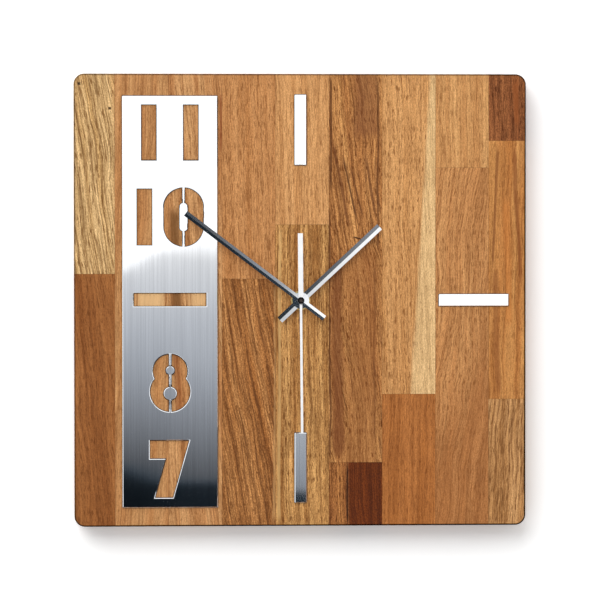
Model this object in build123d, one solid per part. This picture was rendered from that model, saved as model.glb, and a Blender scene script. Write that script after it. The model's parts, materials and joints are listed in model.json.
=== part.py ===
from build123d import *
from math import cos, degrees, radians, sin
import os

# Square oak wall clock: a board of glued staves, a steel number plate, three steel markers and
# three hands on a quartz movement that is let into the board's back.
# Each piece is made in the clock's own frame, in millimetres: X to the right, Y up, Z out of the
# wall, with the hands' axis at X = Y = 0 and the wall at Z = 0. The movement's pieces are made
# with Z = 0 at the movement's back. place() turns them into the part's frame: +Z up, the dial
# facing -Y, and the origin at the centre of the hanger's screw hole, on the wall.

# ---- Fits -------------------------------------------------------------------------------------
RUNNING_GAP = 0.05          # radial, between a shaft and the hole it turns in
PUSH_GAP = 0.02             # radial, between pieces that are pushed together
LOOSE_GAP = 0.35            # radial, round the bushing in the board and the nut
END_PLAY = 0.1              # along an arbor, at each shoulder

# ---- Board ------------------------------------------------------------------------------------
BOARD_WIDTH = 300.0
BOARD_HEIGHT = 300.0
BOARD_THICKNESS = 20.0
BOARD_CORNER_R = 7.0
BOARD_EDGE_R = 0.8          # rounding of the front and back edges
FULL_STAVES = 7             # full-width columns between the two trimmed ones
LEFT_STAVE_WIDTH = 27.0
RIGHT_STAVE_WIDTH = 24.8
# Heights of the end joints in each column of staves, left to right
END_JOINTS = {
    "a": [17.6],
    "b": [],
    "c": [],
    "d": [14.3],
    "e": [50.2],
    "f": [-107.8],
    "g": [-62.4],
    "h": [88.0],
    "i": [105.9, -65.9],
}
STAVE_NAMES = {1: ["whole"], 2: ["lower", "upper"], 3: ["lower", "middle", "upper"]}

# ---- Number plate and markers -----------------------------------------------------------------
PLATE_WIDTH = 63.0
PLATE_THICKNESS = 1.0
PLATE_LEFT_MARGIN = 32.0
PLATE_TOP_MARGIN = 14.7
PLATE_BOTTOM_MARGIN = 12.6
PLATE_CORNER_R = 0.6
PLATE_BEVEL = 0.4
ADHESIVE_THICKNESS = 0.15
ADHESIVE_SPREAD = 0.35      # of the dark adhesive, past the edge of the metal that it holds
ROW_MARGIN = 24.25          # from the plate's ends to the middle of the end numerals
ROW_SHIFTS = {"11": 0.2, "10": 0.25, "9": 1.6, "8": 2.45, "7": 1.3}
STROKE_WIDTH = 10.3
ELEVEN_HEIGHT = 36.7
ELEVEN_SPREAD = 27.8
TEN_HEIGHT = 37.6
TEN_ONE_X = -16.9
ZERO_X = 9.0
ZERO_WIDTH = 26.8
ZERO_HEIGHT = 39.2
ZERO_COUNTER_WIDTH = 5.3
ZERO_COUNTER_HEIGHT = 18.8
BRIDGE_WIDTH = 1.45
NINE_BAR_LENGTH = 48.4
NINE_BAR_HEIGHT = 9.0
EIGHT_TOP_R = 11.6
EIGHT_TOP_Y = 7.75
EIGHT_TOP_EYE_R = 2.9
EIGHT_TOP_EYE_Y = 8.2
EIGHT_BOTTOM_R = 13.5
EIGHT_BOTTOM_Y = -5.8
EIGHT_BOTTOM_EYE_R = 4.3
EIGHT_BOTTOM_EYE_Y = -7.0
SEVEN_HEIGHT = 38.2
SEVEN_LEFT = -13.7
SEVEN_RIGHT = 12.8
SEVEN_BAR_HEIGHT = 12.3
SEVEN_INNER_X = -3.0
SEVEN_FOOT_LEFT = -10.3
SEVEN_FOOT_RIGHT = 1.9

MARKER_LENGTH = 46.5
MARKER_WIDTH = 7.9
MARKER_INSETS = {"twelve": 13.8, "three": 11.5, "six": 15.5}

# ---- Hands ------------------------------------------------------------------------------------
HAND_SHEET = 0.35
HAND_SLOPE = 0.2            # fall of each facet from the crease, per millimetre of width
HAND_HUB_R = 5.45
HAND_GAP = 0.25             # between one hand and the next
COLLET_WALL = 0.85
HOUR_LENGTH = 71.5
HOUR_TAIL = 19.0
HOUR_WIDTH = 4.7
HOUR_ANGLE = 47.0           # clockwise from twelve
MINUTE_LENGTH = 95.5
MINUTE_TAIL = 19.5
MINUTE_WIDTH = 3.8
MINUTE_ANGLE = 307.2
SECOND_LENGTH = 87.7
SECOND_TAIL = 44.5
SECOND_WIDTH = 1.6
SECOND_TAIL_WIDTH = 3.3
SECOND_ANGLE = 179.5
SECOND_TUBE_R = 1.0
CAP_R = 2.3
CAP_HEIGHT = 1.1
CAP_ROUND = 0.6

# ---- Shafts through the board -----------------------------------------------------------------
WEB_THICKNESS = 3.5         # wood left in front of the movement
GASKET_THICKNESS = 0.5
GASKET_R = 11.0
BUSHING_R = 3.85
BUSHING_STAND = 0.3         # bushing beyond the nut
WASHER_R = 6.4
WASHER_THICKNESS = 0.4
NUT_R = 6.0
NUT_THICKNESS = 1.6
NUT_SLOT_WIDTH = 1.2
NUT_SLOT_DEPTH = 0.7
HOUR_PIPE_R = 2.55
MINUTE_PIPE_R = 1.65
SECOND_ARBOR_R = 0.5

# ---- Movement case ----------------------------------------------------------------------------
CASE_WIDTH = 56.0
CASE_RISE = 28.0            # top of the case above the hands' axis
BAY_DROP = 12.0             # top of the battery bay below the hands' axis
CASE_WALL = 1.5
CASE_CORNER_R = 3.0
CASE_FRONT_WALL = 1.0
COVER_THICKNESS = 1.2
COVER_GAP = 0.1
POCKET_GAP = 1.0            # between the case and the pocket's walls
BAY_WALL = 1.0
BATTERY_R = 7.1
BATTERY_LENGTH = 49.4
BATTERY_NUB_R = 2.7
BATTERY_NUB_LENGTH = 1.0
BATTERY_EDGE_R = 0.6
BATTERY_GAP = 0.15
CONTACT_GAP = 0.04          # between a contact and what it lies against
POST_R = 1.5
POST_GAP = 0.3              # between a corner post and the case's walls
STRAP_PASSAGE = 0.9         # left open at each end of the bay wall for the contacts
STRAP_INSET = 1.2           # of the negative contact's riser from the case's left wall

# ---- Train ------------------------------------------------------------------------------------
WHEEL_THICKNESS = 0.8
PINION_OVERHANG = 0.2       # a pinion's teeth beyond each face of the wheel it drives
FIRST_LAYER_Z = 3.5
LAYER_PITCH = 1.9
MIDDLE_PLATE_GAP = 0.4
MIDDLE_PLATE = 0.8
MOTION_LAYER_GAP = 0.7      # middle plate to motion wheel
MOTION_LAYER_PITCH = 1.4
FRONT_GAP = 0.4             # hour wheel to the case's front wall
ARBOR_R = 0.75
PIVOT_R = 0.4
BEARING_WALL = 0.7
PIVOT_LENGTH = 0.8
WHEEL_HUB_WALL = 0.25
WHEEL_WINDOWS = 5
WINDOW_SHARE = 0.6          # of a wheel's web, from its hub to its teeth, that a window takes

ROTOR_TEETH = 8
INTERMEDIATE_TEETH = 48
INTERMEDIATE_PINION_TEETH = 10
SECOND_TEETH = 50
SECOND_PINION_TEETH = 8
THIRD_TEETH = 60
THIRD_PINION_TEETH = 8
CENTRE_TEETH = 64
CANNON_TEETH = 12
MOTION_TEETH = 36
MOTION_PINION_TEETH = 10
HOUR_TEETH = 40
SETTING_TEETH = 18

ROTOR_MODULE = 0.25
INTERMEDIATE_MODULE = 0.29
SECOND_MODULE = 0.26
MOTION_MODULE = 0.30

# Directions of the axes from the one before, in degrees from +X
INTERMEDIATE_DIRECTION = 30.0
ROTOR_DIRECTION = 20.0
THIRD_DIRECTION = 135.0
MOTION_DIRECTION = 200.0
SETTING_DIRECTION = 191.7

# Tooth proportions, in modules
WHEEL_TOOTH = 1.35
PINION_TOOTH = 1.05
WHEEL_ADDENDUM = 0.95
PINION_ADDENDUM = 0.6
WHEEL_DEDENDUM = 1.0
PINION_DEDENDUM = 1.3
PINION_LIMIT = 18           # gears with this many teeth or fewer have pinion proportions
TOOTH_SHOULDER = 0.75       # half width of a tooth's tip arc at its middle, as a share of the flank's

# ---- Motor, electronics and setting knob ------------------------------------------------------
MAGNET_R = 3.0
MAGNET_HEIGHT = 3.0
STATOR_GAP = 0.5
STATOR_THICKNESS = 0.8
STATOR_WIDTH = 8.0
STATOR_SHIFT = 0.2          # of the stator's plate to the left of the rotor
STATOR_REACH = 3.0          # of the stator's arms beyond the coil's axis
STATOR_ARM = 4.0
STATOR_TOP_Y = 19.5
STATOR_BAY_GAP = 2.0        # between the stator and the battery bay's wall
CORE_WIDTH = 2.0
CORE_THICKNESS = 0.8
COIL_X = 21.4
BOBBIN_LENGTH = 20.0
BOBBIN_FLANGE = 0.8
BOBBIN_FLANGE_R = 3.2
BOBBIN_TUBE_R = 1.6
WINDING_R = 2.9
BOARD_PCB_WIDTH = 12.0
BOARD_PCB_HEIGHT = 13.0
PCB_THICKNESS = 1.0
PCB_DEPTH = 1.4             # from the circuit board to the middle plate
CRYSTAL_R = 1.0
CRYSTAL_LENGTH = 6.0
CRYSTAL_INSET = 3.0         # from the circuit board's right edge
CRYSTAL_RISE = 5.0          # above the circuit board's lower edge
CHIP_R = 2.4
CHIP_HEIGHT = 0.8
CHIP_INSET = 4.5            # from the circuit board's left edge
CHIP_RISE = 7.0             # above the circuit board's lower edge
CONTACT_SHEET = 0.3
CONTACT_WIDTH = 10.0
STRAP_WIDTH = 2.0
TAB_LENGTH = 2.0            # of a contact on the circuit board
NARROW_TAB = 0.5
KNOB_R = 4.2
KNOB_HEIGHT = 2.4
KNOB_RIBS = 24
KNOB_RIB_R = 0.25
KNOB_SINK = 0.4             # knob below the cover's outer face
KNOB_RECESS_GAP = 1.0
RECESS_FLOOR = 0.8
SETTING_ARBOR_R = 1.2

# ---- Hanger -----------------------------------------------------------------------------------
HANGER_RISE = 105.0         # screw hole above the hands' axis
HANGER_WIDTH = 20.0
HANGER_HEIGHT = 50.0
HANGER_THICKNESS = 1.5
KEYHOLE_R = 4.5
KEYHOLE_SLOT_R = 2.25
KEYHOLE_SLOT_LENGTH = 11.0
HEAD_RECESS_DEPTH = 8.0
HEAD_RECESS_R = 6.0
HANGER_SCREW_Y = 20.0
SCREW_R = 1.5
SCREW_HEAD_R = 2.9
SCREW_LENGTH = 12.0
SCREW_SLOT_WIDTH = 0.5
SCREW_SLOT_DEPTH = 0.5

# ---- Worked out from the sizes above ----------------------------------------------------------
left_edge = -BOARD_WIDTH / 2
right_edge = BOARD_WIDTH / 2
top_edge = BOARD_HEIGHT / 2
bottom_edge = -BOARD_HEIGHT / 2
plate_height = BOARD_HEIGHT - PLATE_TOP_MARGIN - PLATE_BOTTOM_MARGIN
plate_x = left_edge + PLATE_LEFT_MARGIN + PLATE_WIDTH / 2
plate_y = (PLATE_BOTTOM_MARGIN - PLATE_TOP_MARGIN) / 2
row_pitch = (plate_height - 2 * ROW_MARGIN) / 4

face_z = BOARD_THICKNESS
nut_z = face_z + WASHER_THICKNESS
bushing_top = nut_z + NUT_THICKNESS + BUSHING_STAND
hand_depth = HAND_HUB_R * HAND_SLOPE + HAND_SHEET
hour_top = bushing_top + HAND_GAP + hand_depth
minute_top = hour_top + HAND_GAP + hand_depth
second_bottom = minute_top + HAND_GAP
second_top = second_bottom + HAND_SHEET

rotor_z = FIRST_LAYER_Z
intermediate_z = rotor_z + LAYER_PITCH
second_z = intermediate_z + LAYER_PITCH
centre_z = second_z + LAYER_PITCH
middle_z = centre_z + WHEEL_THICKNESS + MIDDLE_PLATE_GAP
middle_top = middle_z + MIDDLE_PLATE
motion_z = middle_top + MOTION_LAYER_GAP
hour_z = motion_z + MOTION_LAYER_PITCH
front_wall_z = hour_z + WHEEL_THICKNESS + PINION_OVERHANG + FRONT_GAP
case_depth = front_wall_z + CASE_FRONT_WALL
movement_z = face_z - WEB_THICKNESS - GASKET_THICKNESS - case_depth
inner_right = CASE_WIDTH / 2 - CASE_WALL
inner_top = CASE_RISE - CASE_WALL
bay_top = -BAY_DROP
battery_y = bay_top - BATTERY_GAP - BATTERY_R
battery_z = front_wall_z - BATTERY_GAP - BATTERY_R
cell_left = -inner_right + CONTACT_SHEET + 3 * CONTACT_GAP
cell_right = cell_left + BATTERY_NUB_LENGTH + BATTERY_LENGTH
inner_bottom = battery_y - BATTERY_R - BATTERY_GAP
case_height = CASE_RISE + CASE_WALL - inner_bottom
case_y = CASE_RISE - case_height / 2
stator_bottom = bay_top + BAY_WALL + STATOR_BAY_GAP


def polar(distance, direction, start=(0.0, 0.0)):
    """Point at a distance and direction (degrees) from a start point."""
    angle = radians(direction)
    return (start[0] + distance * cos(angle), start[1] + distance * sin(angle))


def centre_distance(teeth_a, teeth_b, module):
    return module * (teeth_a + teeth_b) / 2


third_distance = centre_distance(SECOND_PINION_TEETH, THIRD_TEETH, SECOND_MODULE)
motion_distance = centre_distance(CANNON_TEETH, MOTION_TEETH, MOTION_MODULE)
intermediate_xy = polar(
    centre_distance(INTERMEDIATE_PINION_TEETH, SECOND_TEETH, INTERMEDIATE_MODULE),
    INTERMEDIATE_DIRECTION,
)
rotor_xy = polar(
    centre_distance(ROTOR_TEETH, INTERMEDIATE_TEETH, ROTOR_MODULE),
    ROTOR_DIRECTION,
    intermediate_xy,
)
third_xy = polar(third_distance, THIRD_DIRECTION)
motion_xy = polar(motion_distance, MOTION_DIRECTION)
setting_xy = polar(
    centre_distance(SETTING_TEETH, MOTION_TEETH, MOTION_MODULE), SETTING_DIRECTION, motion_xy
)
centre_module = 2 * third_distance / (THIRD_PINION_TEETH + CENTRE_TEETH)
hour_module = 2 * motion_distance / (MOTION_PINION_TEETH + HOUR_TEETH)


def mesh_phase(teeth_a, phase_a, teeth_b, direction):
    """Phase of gear B, in degrees, that puts its gaps on gear A's teeth. The direction is A to B."""
    phase_b = direction + 180 + (teeth_a * (direction - phase_a) - 180) / teeth_b
    return phase_b % (360 / teeth_b)


intermediate_phase = mesh_phase(ROTOR_TEETH, 0, INTERMEDIATE_TEETH, ROTOR_DIRECTION + 180)
second_phase = mesh_phase(INTERMEDIATE_PINION_TEETH, 0, SECOND_TEETH, INTERMEDIATE_DIRECTION + 180)
third_phase = mesh_phase(SECOND_PINION_TEETH, 0, THIRD_TEETH, THIRD_DIRECTION)
centre_phase = mesh_phase(THIRD_PINION_TEETH, 0, CENTRE_TEETH, THIRD_DIRECTION + 180)
motion_phase = mesh_phase(CANNON_TEETH, 0, MOTION_TEETH, MOTION_DIRECTION)
hour_phase = mesh_phase(MOTION_PINION_TEETH, 0, HOUR_TEETH, MOTION_DIRECTION + 180)
setting_phase = mesh_phase(MOTION_TEETH, motion_phase, SETTING_TEETH, SETTING_DIRECTION)


# ---- Shared shapes ----------------------------------------------------------------------------
def disc(radius, z_from, z_to, centre=(0.0, 0.0)):
    height = z_to - z_from
    return Pos(centre[0], centre[1], z_from) * Cylinder(
        radius, height, align=(Align.CENTER, Align.CENTER, Align.MIN)
    )


def block(x_from, x_to, y_from, y_to, z_from, z_to):
    return Pos(x_from, y_from, z_from) * Box(
        x_to - x_from, y_to - y_from, z_to - z_from, align=(Align.MIN, Align.MIN, Align.MIN)
    )


def rounded_block(width, height, corner_r, z_from, z_to):
    return Pos(0, 0, z_from) * extrude(RectangleRounded(width, height, corner_r), z_to - z_from)


def pipe(outer_r, inner_r, z_from, z_to, centre=(0.0, 0.0)):
    return disc(outer_r, z_from, z_to, centre) - disc(inner_r, z_from, z_to, centre)


def gear(teeth, module, phase, z_from, z_to, centre=(0.0, 0.0)):
    """Clock gear: radial flanks below the pitch circle, and two arcs to each tooth's tip."""
    is_pinion = teeth <= PINION_LIMIT
    thickness = PINION_TOOTH if is_pinion else WHEEL_TOOTH
    pitch_r = module * teeth / 2
    tip_r = pitch_r + module * (PINION_ADDENDUM if is_pinion else WHEEL_ADDENDUM)
    root_r = pitch_r - module * (PINION_DEDENDUM if is_pinion else WHEEL_DEDENDUM)
    shoulder_r = (pitch_r + tip_r) / 2
    half = degrees(thickness / teeth)
    step = 360 / teeth
    edges = []
    for index in range(teeth):
        middle = phase + index * step
        foot = polar(root_r, middle - half)
        flank = polar(pitch_r, middle - half)
        rise = polar(shoulder_r, middle - TOOTH_SHOULDER * half)
        tip = polar(tip_r, middle)
        fall = polar(shoulder_r, middle + TOOTH_SHOULDER * half)
        far_flank = polar(pitch_r, middle + half)
        far_foot = polar(root_r, middle + half)
        gap = polar(root_r, middle + step / 2)
        next_foot = polar(root_r, middle + step - half)
        edges.append(Line(foot, flank))
        edges.append(ThreePointArc(flank, rise, tip))
        edges.append(ThreePointArc(tip, fall, far_flank))
        edges.append(Line(far_flank, far_foot))
        edges.append(ThreePointArc(far_foot, gap, next_foot))
    outline = make_face(Wire(edges))
    return Pos(centre[0], centre[1], z_from) * extrude(outline, z_to - z_from)


def wheel_windows(teeth, module, hub_r, z_from, z_to, centre=(0.0, 0.0)):
    """Round windows in a wheel's web, between its hub and the roots of its teeth."""
    root_r = module * (teeth / 2 - WHEEL_DEDENDUM)
    ring_r = (root_r + hub_r) / 2
    hole_r = WINDOW_SHARE * (root_r - hub_r) / 2
    holes = Sketch() + PolarLocations(ring_r, WHEEL_WINDOWS) * Circle(hole_r)
    return Pos(centre[0], centre[1], z_from) * extrude(holes, z_to - z_from)


# ---- Board ------------------------------------------------------------------------------------
def board_blank():
    """The glued board as one solid, with its pocket, shaft hole and hanger recesses."""
    blank = rounded_block(BOARD_WIDTH, BOARD_HEIGHT, BOARD_CORNER_R, 0, BOARD_THICKNESS)
    rim = blank.faces().sort_by(Axis.Z)[-1].edges() + blank.faces().sort_by(Axis.Z)[0].edges()
    blank = fillet(rim, BOARD_EDGE_R)
    pocket_width = CASE_WIDTH + 2 * POCKET_GAP
    pocket_height = case_height + 2 * POCKET_GAP
    pocket_top = BOARD_THICKNESS - WEB_THICKNESS
    pocket_r = CASE_CORNER_R + POCKET_GAP
    blank -= Pos(0, case_y, 0) * rounded_block(
        pocket_width, pocket_height, pocket_r, 0, pocket_top
    )
    blank -= disc(BUSHING_R + LOOSE_GAP, 0, BOARD_THICKNESS)
    blank -= Pos(0, HANGER_RISE, 0) * hanger_outline(PUSH_GAP)
    recess_height = KEYHOLE_SLOT_LENGTH + 2 * HEAD_RECESS_R
    recess = extrude(SlotOverall(recess_height, 2 * HEAD_RECESS_R, rotation=90), HEAD_RECESS_DEPTH)
    blank -= Pos(0, HANGER_RISE + KEYHOLE_SLOT_LENGTH / 2, 0) * recess
    for y in (-HANGER_SCREW_Y, HANGER_SCREW_Y):
        blank -= disc(SCREW_R + PUSH_GAP, 0, SCREW_LENGTH, (0, HANGER_RISE + y))
    return blank


def column_edges():
    """X of each joint between columns, with the board's two sides."""
    full_width = (BOARD_WIDTH - LEFT_STAVE_WIDTH - RIGHT_STAVE_WIDTH) / FULL_STAVES
    first = left_edge + LEFT_STAVE_WIDTH
    joints = [first + index * full_width for index in range(FULL_STAVES + 1)]
    return [left_edge] + joints + [right_edge]


def staves():
    """Each stave is the board's share of its own column, between two end joints."""
    blank = board_blank()
    edges = column_edges()
    pieces = {}
    for column, joints in enumerate(END_JOINTS.items()):
        letter, heights = joints
        levels = [bottom_edge] + sorted(heights) + [top_edge]
        for row, name in enumerate(STAVE_NAMES[len(levels) - 1]):
            share = block(
                edges[column], edges[column + 1], levels[row], levels[row + 1], 0, BOARD_THICKNESS
            )
            pieces[f"stave_{letter}_{name}"] = blank & share
    return pieces


# ---- Hanger -----------------------------------------------------------------------------------
def hanger_outline(gap):
    """Flat strip with round ends, centred on the screw hole."""
    strip = SlotOverall(HANGER_HEIGHT + 2 * gap, HANGER_WIDTH + 2 * gap, rotation=90)
    return extrude(strip, HANGER_THICKNESS)


def hanger_plate():
    plate = hanger_outline(0)
    plate -= disc(KEYHOLE_R, 0, HANGER_THICKNESS)
    plate -= block(
        -KEYHOLE_SLOT_R, KEYHOLE_SLOT_R, 0, KEYHOLE_SLOT_LENGTH, 0, HANGER_THICKNESS
    )
    plate -= disc(KEYHOLE_SLOT_R, 0, HANGER_THICKNESS, (0, KEYHOLE_SLOT_LENGTH))
    for y in (-HANGER_SCREW_Y, HANGER_SCREW_Y):
        plate -= Pos(0, y, 0) * screw_shape(PUSH_GAP, HANGER_THICKNESS)
    return Pos(0, HANGER_RISE, 0) * plate


def screw_shape(gap, length):
    """Countersunk screw: its head's flat face at Z = 0, its shank along +Z."""
    head_depth = SCREW_HEAD_R - SCREW_R
    head = Cone(
        SCREW_HEAD_R + gap, SCREW_R + gap, head_depth, align=(Align.CENTER, Align.CENTER, Align.MIN)
    )
    return head + disc(SCREW_R + gap, 0, length)


def hanger_screws():
    screw = screw_shape(0, SCREW_LENGTH - END_PLAY)
    half = SCREW_SLOT_WIDTH / 2
    screw -= block(-SCREW_HEAD_R, SCREW_HEAD_R, -half, half, 0, SCREW_SLOT_DEPTH)
    screw -= block(-half, half, -SCREW_HEAD_R, SCREW_HEAD_R, 0, SCREW_SLOT_DEPTH)
    upper = Pos(0, HANGER_RISE + HANGER_SCREW_Y, 0) * screw
    lower = Pos(0, HANGER_RISE - HANGER_SCREW_Y, 0) * screw
    return Compound(children=[upper, lower])


# ---- Number plate and markers -----------------------------------------------------------------
def numeral_eleven():
    spread = ELEVEN_SPREAD / 2
    bars = [Pos(x, 0) * Rectangle(STROKE_WIDTH, ELEVEN_HEIGHT) for x in (-spread, spread)]
    return Sketch() + bars


def numeral_ten():
    one = Pos(TEN_ONE_X, 0) * Rectangle(STROKE_WIDTH, TEN_HEIGHT)
    ring = SlotOverall(ZERO_HEIGHT, ZERO_WIDTH, rotation=90)
    ring -= SlotOverall(ZERO_COUNTER_HEIGHT, ZERO_COUNTER_WIDTH, rotation=90)
    ring -= Rectangle(BRIDGE_WIDTH, ZERO_HEIGHT)
    return one + Pos(ZERO_X, 0) * ring


def numeral_nine():
    return Rectangle(NINE_BAR_LENGTH, NINE_BAR_HEIGHT)


def numeral_eight():
    lobes = Pos(0, EIGHT_TOP_Y) * Circle(EIGHT_TOP_R)
    lobes += Pos(0, EIGHT_BOTTOM_Y) * Circle(EIGHT_BOTTOM_R)
    lobes -= Pos(0, EIGHT_TOP_EYE_Y) * Circle(EIGHT_TOP_EYE_R)
    lobes -= Pos(0, EIGHT_BOTTOM_EYE_Y) * Circle(EIGHT_BOTTOM_EYE_R)
    reach = max(EIGHT_TOP_R + EIGHT_TOP_Y, EIGHT_BOTTOM_R - EIGHT_BOTTOM_Y)
    lobes -= Rectangle(BRIDGE_WIDTH, 2 * reach)
    return lobes


def numeral_seven():
    top = SEVEN_HEIGHT / 2
    bar_bottom = top - SEVEN_BAR_HEIGHT
    outline = Polyline(
        (SEVEN_LEFT, top),
        (SEVEN_RIGHT, top),
        (SEVEN_FOOT_RIGHT, -top),
        (SEVEN_FOOT_LEFT, -top),
        (SEVEN_INNER_X, bar_bottom),
        (SEVEN_LEFT, bar_bottom),
        close=True,
    )
    return make_face(outline)


def plate_numerals():
    """The five numerals that are cut through the plate, round the plate's middle."""
    numerals = {
        "11": numeral_eleven(),
        "10": numeral_ten(),
        "9": numeral_nine(),
        "8": numeral_eight(),
        "7": numeral_seven(),
    }
    cuts = Sketch()
    for row, name in enumerate(ROW_SHIFTS):
        y = (2 - row) * row_pitch + ROW_SHIFTS[name]
        cuts += Pos(0, y) * numerals[name]
    return cuts


def number_plate():
    bottom = face_z + ADHESIVE_THICKNESS
    top = bottom + PLATE_THICKNESS
    plate = rounded_block(PLATE_WIDTH, plate_height, PLATE_CORNER_R, bottom, top)
    plate = chamfer(plate.faces().sort_by(Axis.Z)[-1].edges(), PLATE_BEVEL)
    cuts = plate_numerals()
    plate -= Pos(0, 0, bottom) * extrude(cuts, PLATE_THICKNESS)
    for opening in cuts.faces():
        plate -= Pos(0, 0, top - PLATE_BEVEL) * extrude(opening, PLATE_BEVEL, taper=-45)
    return Pos(plate_x, plate_y, 0) * plate


def plate_adhesive():
    width = PLATE_WIDTH + 2 * ADHESIVE_SPREAD
    height = plate_height + 2 * ADHESIVE_SPREAD
    film = RectangleRounded(width, height, PLATE_CORNER_R + ADHESIVE_SPREAD)
    film -= offset(plate_numerals(), -ADHESIVE_SPREAD)
    return Pos(plate_x, plate_y, face_z) * extrude(film, ADHESIVE_THICKNESS)


def marker_centres():
    """Middle of each marker, and its size along X and Y."""
    reach = MARKER_LENGTH / 2
    return {
        "twelve": (0, top_edge - MARKER_INSETS["twelve"] - reach, MARKER_WIDTH, MARKER_LENGTH),
        "three": (right_edge - MARKER_INSETS["three"] - reach, 0, MARKER_LENGTH, MARKER_WIDTH),
        "six": (0, bottom_edge + MARKER_INSETS["six"] + reach, MARKER_WIDTH, MARKER_LENGTH),
    }


def marker(name):
    x, y, width, height = marker_centres()[name]
    bottom = face_z + ADHESIVE_THICKNESS
    bar = rounded_block(width, height, PLATE_CORNER_R, bottom, bottom + PLATE_THICKNESS)
    bar = chamfer(bar.faces().sort_by(Axis.Z)[-1].edges(), PLATE_BEVEL)
    return Pos(x, y, 0) * bar


def marker_adhesive():
    pads = []
    for x, y, width, height in marker_centres().values():
        pad = rounded_block(
            width + 2 * ADHESIVE_SPREAD,
            height + 2 * ADHESIVE_SPREAD,
            PLATE_CORNER_R + ADHESIVE_SPREAD,
            face_z,
            face_z + ADHESIVE_THICKNESS,
        )
        pads.append(Pos(x, y, 0) * pad)
    return Compound(children=pads)


# ---- Hands ------------------------------------------------------------------------------------
def creased_hand(length, tail, width, top, pipe_r):
    """Baton hand pressed into two facets, with its hub and collet. It points along +Y."""
    blank = Pos(0, (length - tail) / 2) * Rectangle(width, length + tail)
    blank += Circle(HAND_HUB_R)
    fall = HAND_HUB_R * HAND_SLOPE
    crease = Polyline(
        (-HAND_HUB_R, -fall),
        (0, 0),
        (HAND_HUB_R, -fall),
        (HAND_HUB_R, -fall - HAND_SHEET),
        (0, -HAND_SHEET),
        (-HAND_HUB_R, -fall - HAND_SHEET),
        close=True,
    )
    sheet = extrude(Plane.XZ * make_face(crease), length + tail, both=True)
    slab = Pos(0, 0, -hand_depth) * extrude(blank, hand_depth)
    hand = Pos(0, 0, top) * (slab & sheet)
    bore_r = pipe_r + PUSH_GAP
    collet_r = bore_r + COLLET_WALL
    hand += disc(collet_r, top - hand_depth, top - HAND_SHEET - collet_r * HAND_SLOPE / 2)
    return hand - disc(bore_r, top - 2 * hand_depth, top + hand_depth)


def hour_hand():
    hand = creased_hand(HOUR_LENGTH, HOUR_TAIL, HOUR_WIDTH, hour_top, HOUR_PIPE_R)
    return Rot(0, 0, -HOUR_ANGLE) * hand


def minute_hand():
    hand = creased_hand(MINUTE_LENGTH, MINUTE_TAIL, MINUTE_WIDTH, minute_top, MINUTE_PIPE_R)
    return Rot(0, 0, -MINUTE_ANGLE) * hand


def second_hand():
    blank = Pos(0, SECOND_LENGTH / 2) * Rectangle(SECOND_WIDTH, SECOND_LENGTH)
    blank += Pos(0, -SECOND_TAIL / 2) * Rectangle(SECOND_TAIL_WIDTH, SECOND_TAIL)
    blank += Circle(CAP_R)
    blank -= Circle(SECOND_ARBOR_R + PUSH_GAP)
    hand = Pos(0, 0, second_bottom) * extrude(blank, HAND_SHEET)
    return Rot(0, 0, -SECOND_ANGLE) * hand


def second_tube():
    start = second_bottom - HAND_GAP - HAND_SHEET / 2
    return pipe(SECOND_TUBE_R, SECOND_ARBOR_R + PUSH_GAP, start, second_bottom)


def hub_cap():
    cap = disc(CAP_R, second_top, second_top + CAP_HEIGHT)
    cap = fillet(cap.faces().sort_by(Axis.Z)[-1].edges(), CAP_ROUND)
    return cap - disc(SECOND_ARBOR_R + PUSH_GAP, second_top, second_top + CAP_HEIGHT / 2)


# ---- Through the board ------------------------------------------------------------------------
def washer():
    return pipe(WASHER_R, BUSHING_R + PUSH_GAP, face_z, nut_z)


def fixing_nut():
    top = nut_z + NUT_THICKNESS
    nut = pipe(NUT_R, BUSHING_R + PUSH_GAP, nut_z, top)
    for turn in (0, 90):
        slot = block(
            -NUT_R, NUT_R, -NUT_SLOT_WIDTH / 2, NUT_SLOT_WIDTH / 2, top - NUT_SLOT_DEPTH, top
        )
        nut -= Rot(0, 0, turn) * slot
    return nut


def gasket():
    start = face_z - WEB_THICKNESS - GASKET_THICKNESS
    return pipe(GASKET_R, BUSHING_R + PUSH_GAP, start, start + GASKET_THICKNESS)


def threaded_bushing():
    start = movement_z + front_wall_z
    return pipe(BUSHING_R, HOUR_PIPE_R + RUNNING_GAP, start, bushing_top)


# ---- Movement case (Z = 0 at the movement's back) ---------------------------------------------
def post_points():
    """Posts in front of the middle plate, and posts between it and the back cover."""
    side = inner_right - POST_R - POST_GAP
    top = inner_top - POST_R - POST_GAP
    wall_top = bay_top + BAY_WALL
    front = [
        (-side, top),
        (0, top),
        (side, top),
        (-side, wall_top + POST_R / 2),
        (side, wall_top + POST_R / 2),
    ]
    back = [(0, top), (side, top), (-side + POST_R, wall_top + 2 * POST_R)]
    return front, back


def movement_case():
    case = rounded_block(CASE_WIDTH, case_height, CASE_CORNER_R, 0, case_depth)
    inner_r = CASE_CORNER_R - CASE_WALL
    inner_height = inner_top - inner_bottom
    case -= rounded_block(2 * inner_right, inner_height, inner_r, 0, front_wall_z)
    case = Pos(0, case_y, 0) * case
    case += block(
        -inner_right + STRAP_PASSAGE,
        inner_right - STRAP_PASSAGE,
        bay_top,
        bay_top + BAY_WALL,
        COVER_THICKNESS,
        front_wall_z,
    )
    for point in post_points()[0]:
        case += disc(POST_R, middle_top, front_wall_z, point)
    case -= disc(BUSHING_R + PUSH_GAP, front_wall_z, case_depth)
    for point in (motion_xy, setting_xy):
        case -= disc(PIVOT_R + RUNNING_GAP, front_wall_z, front_wall_z + PIVOT_LENGTH, point)
    return case


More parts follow.
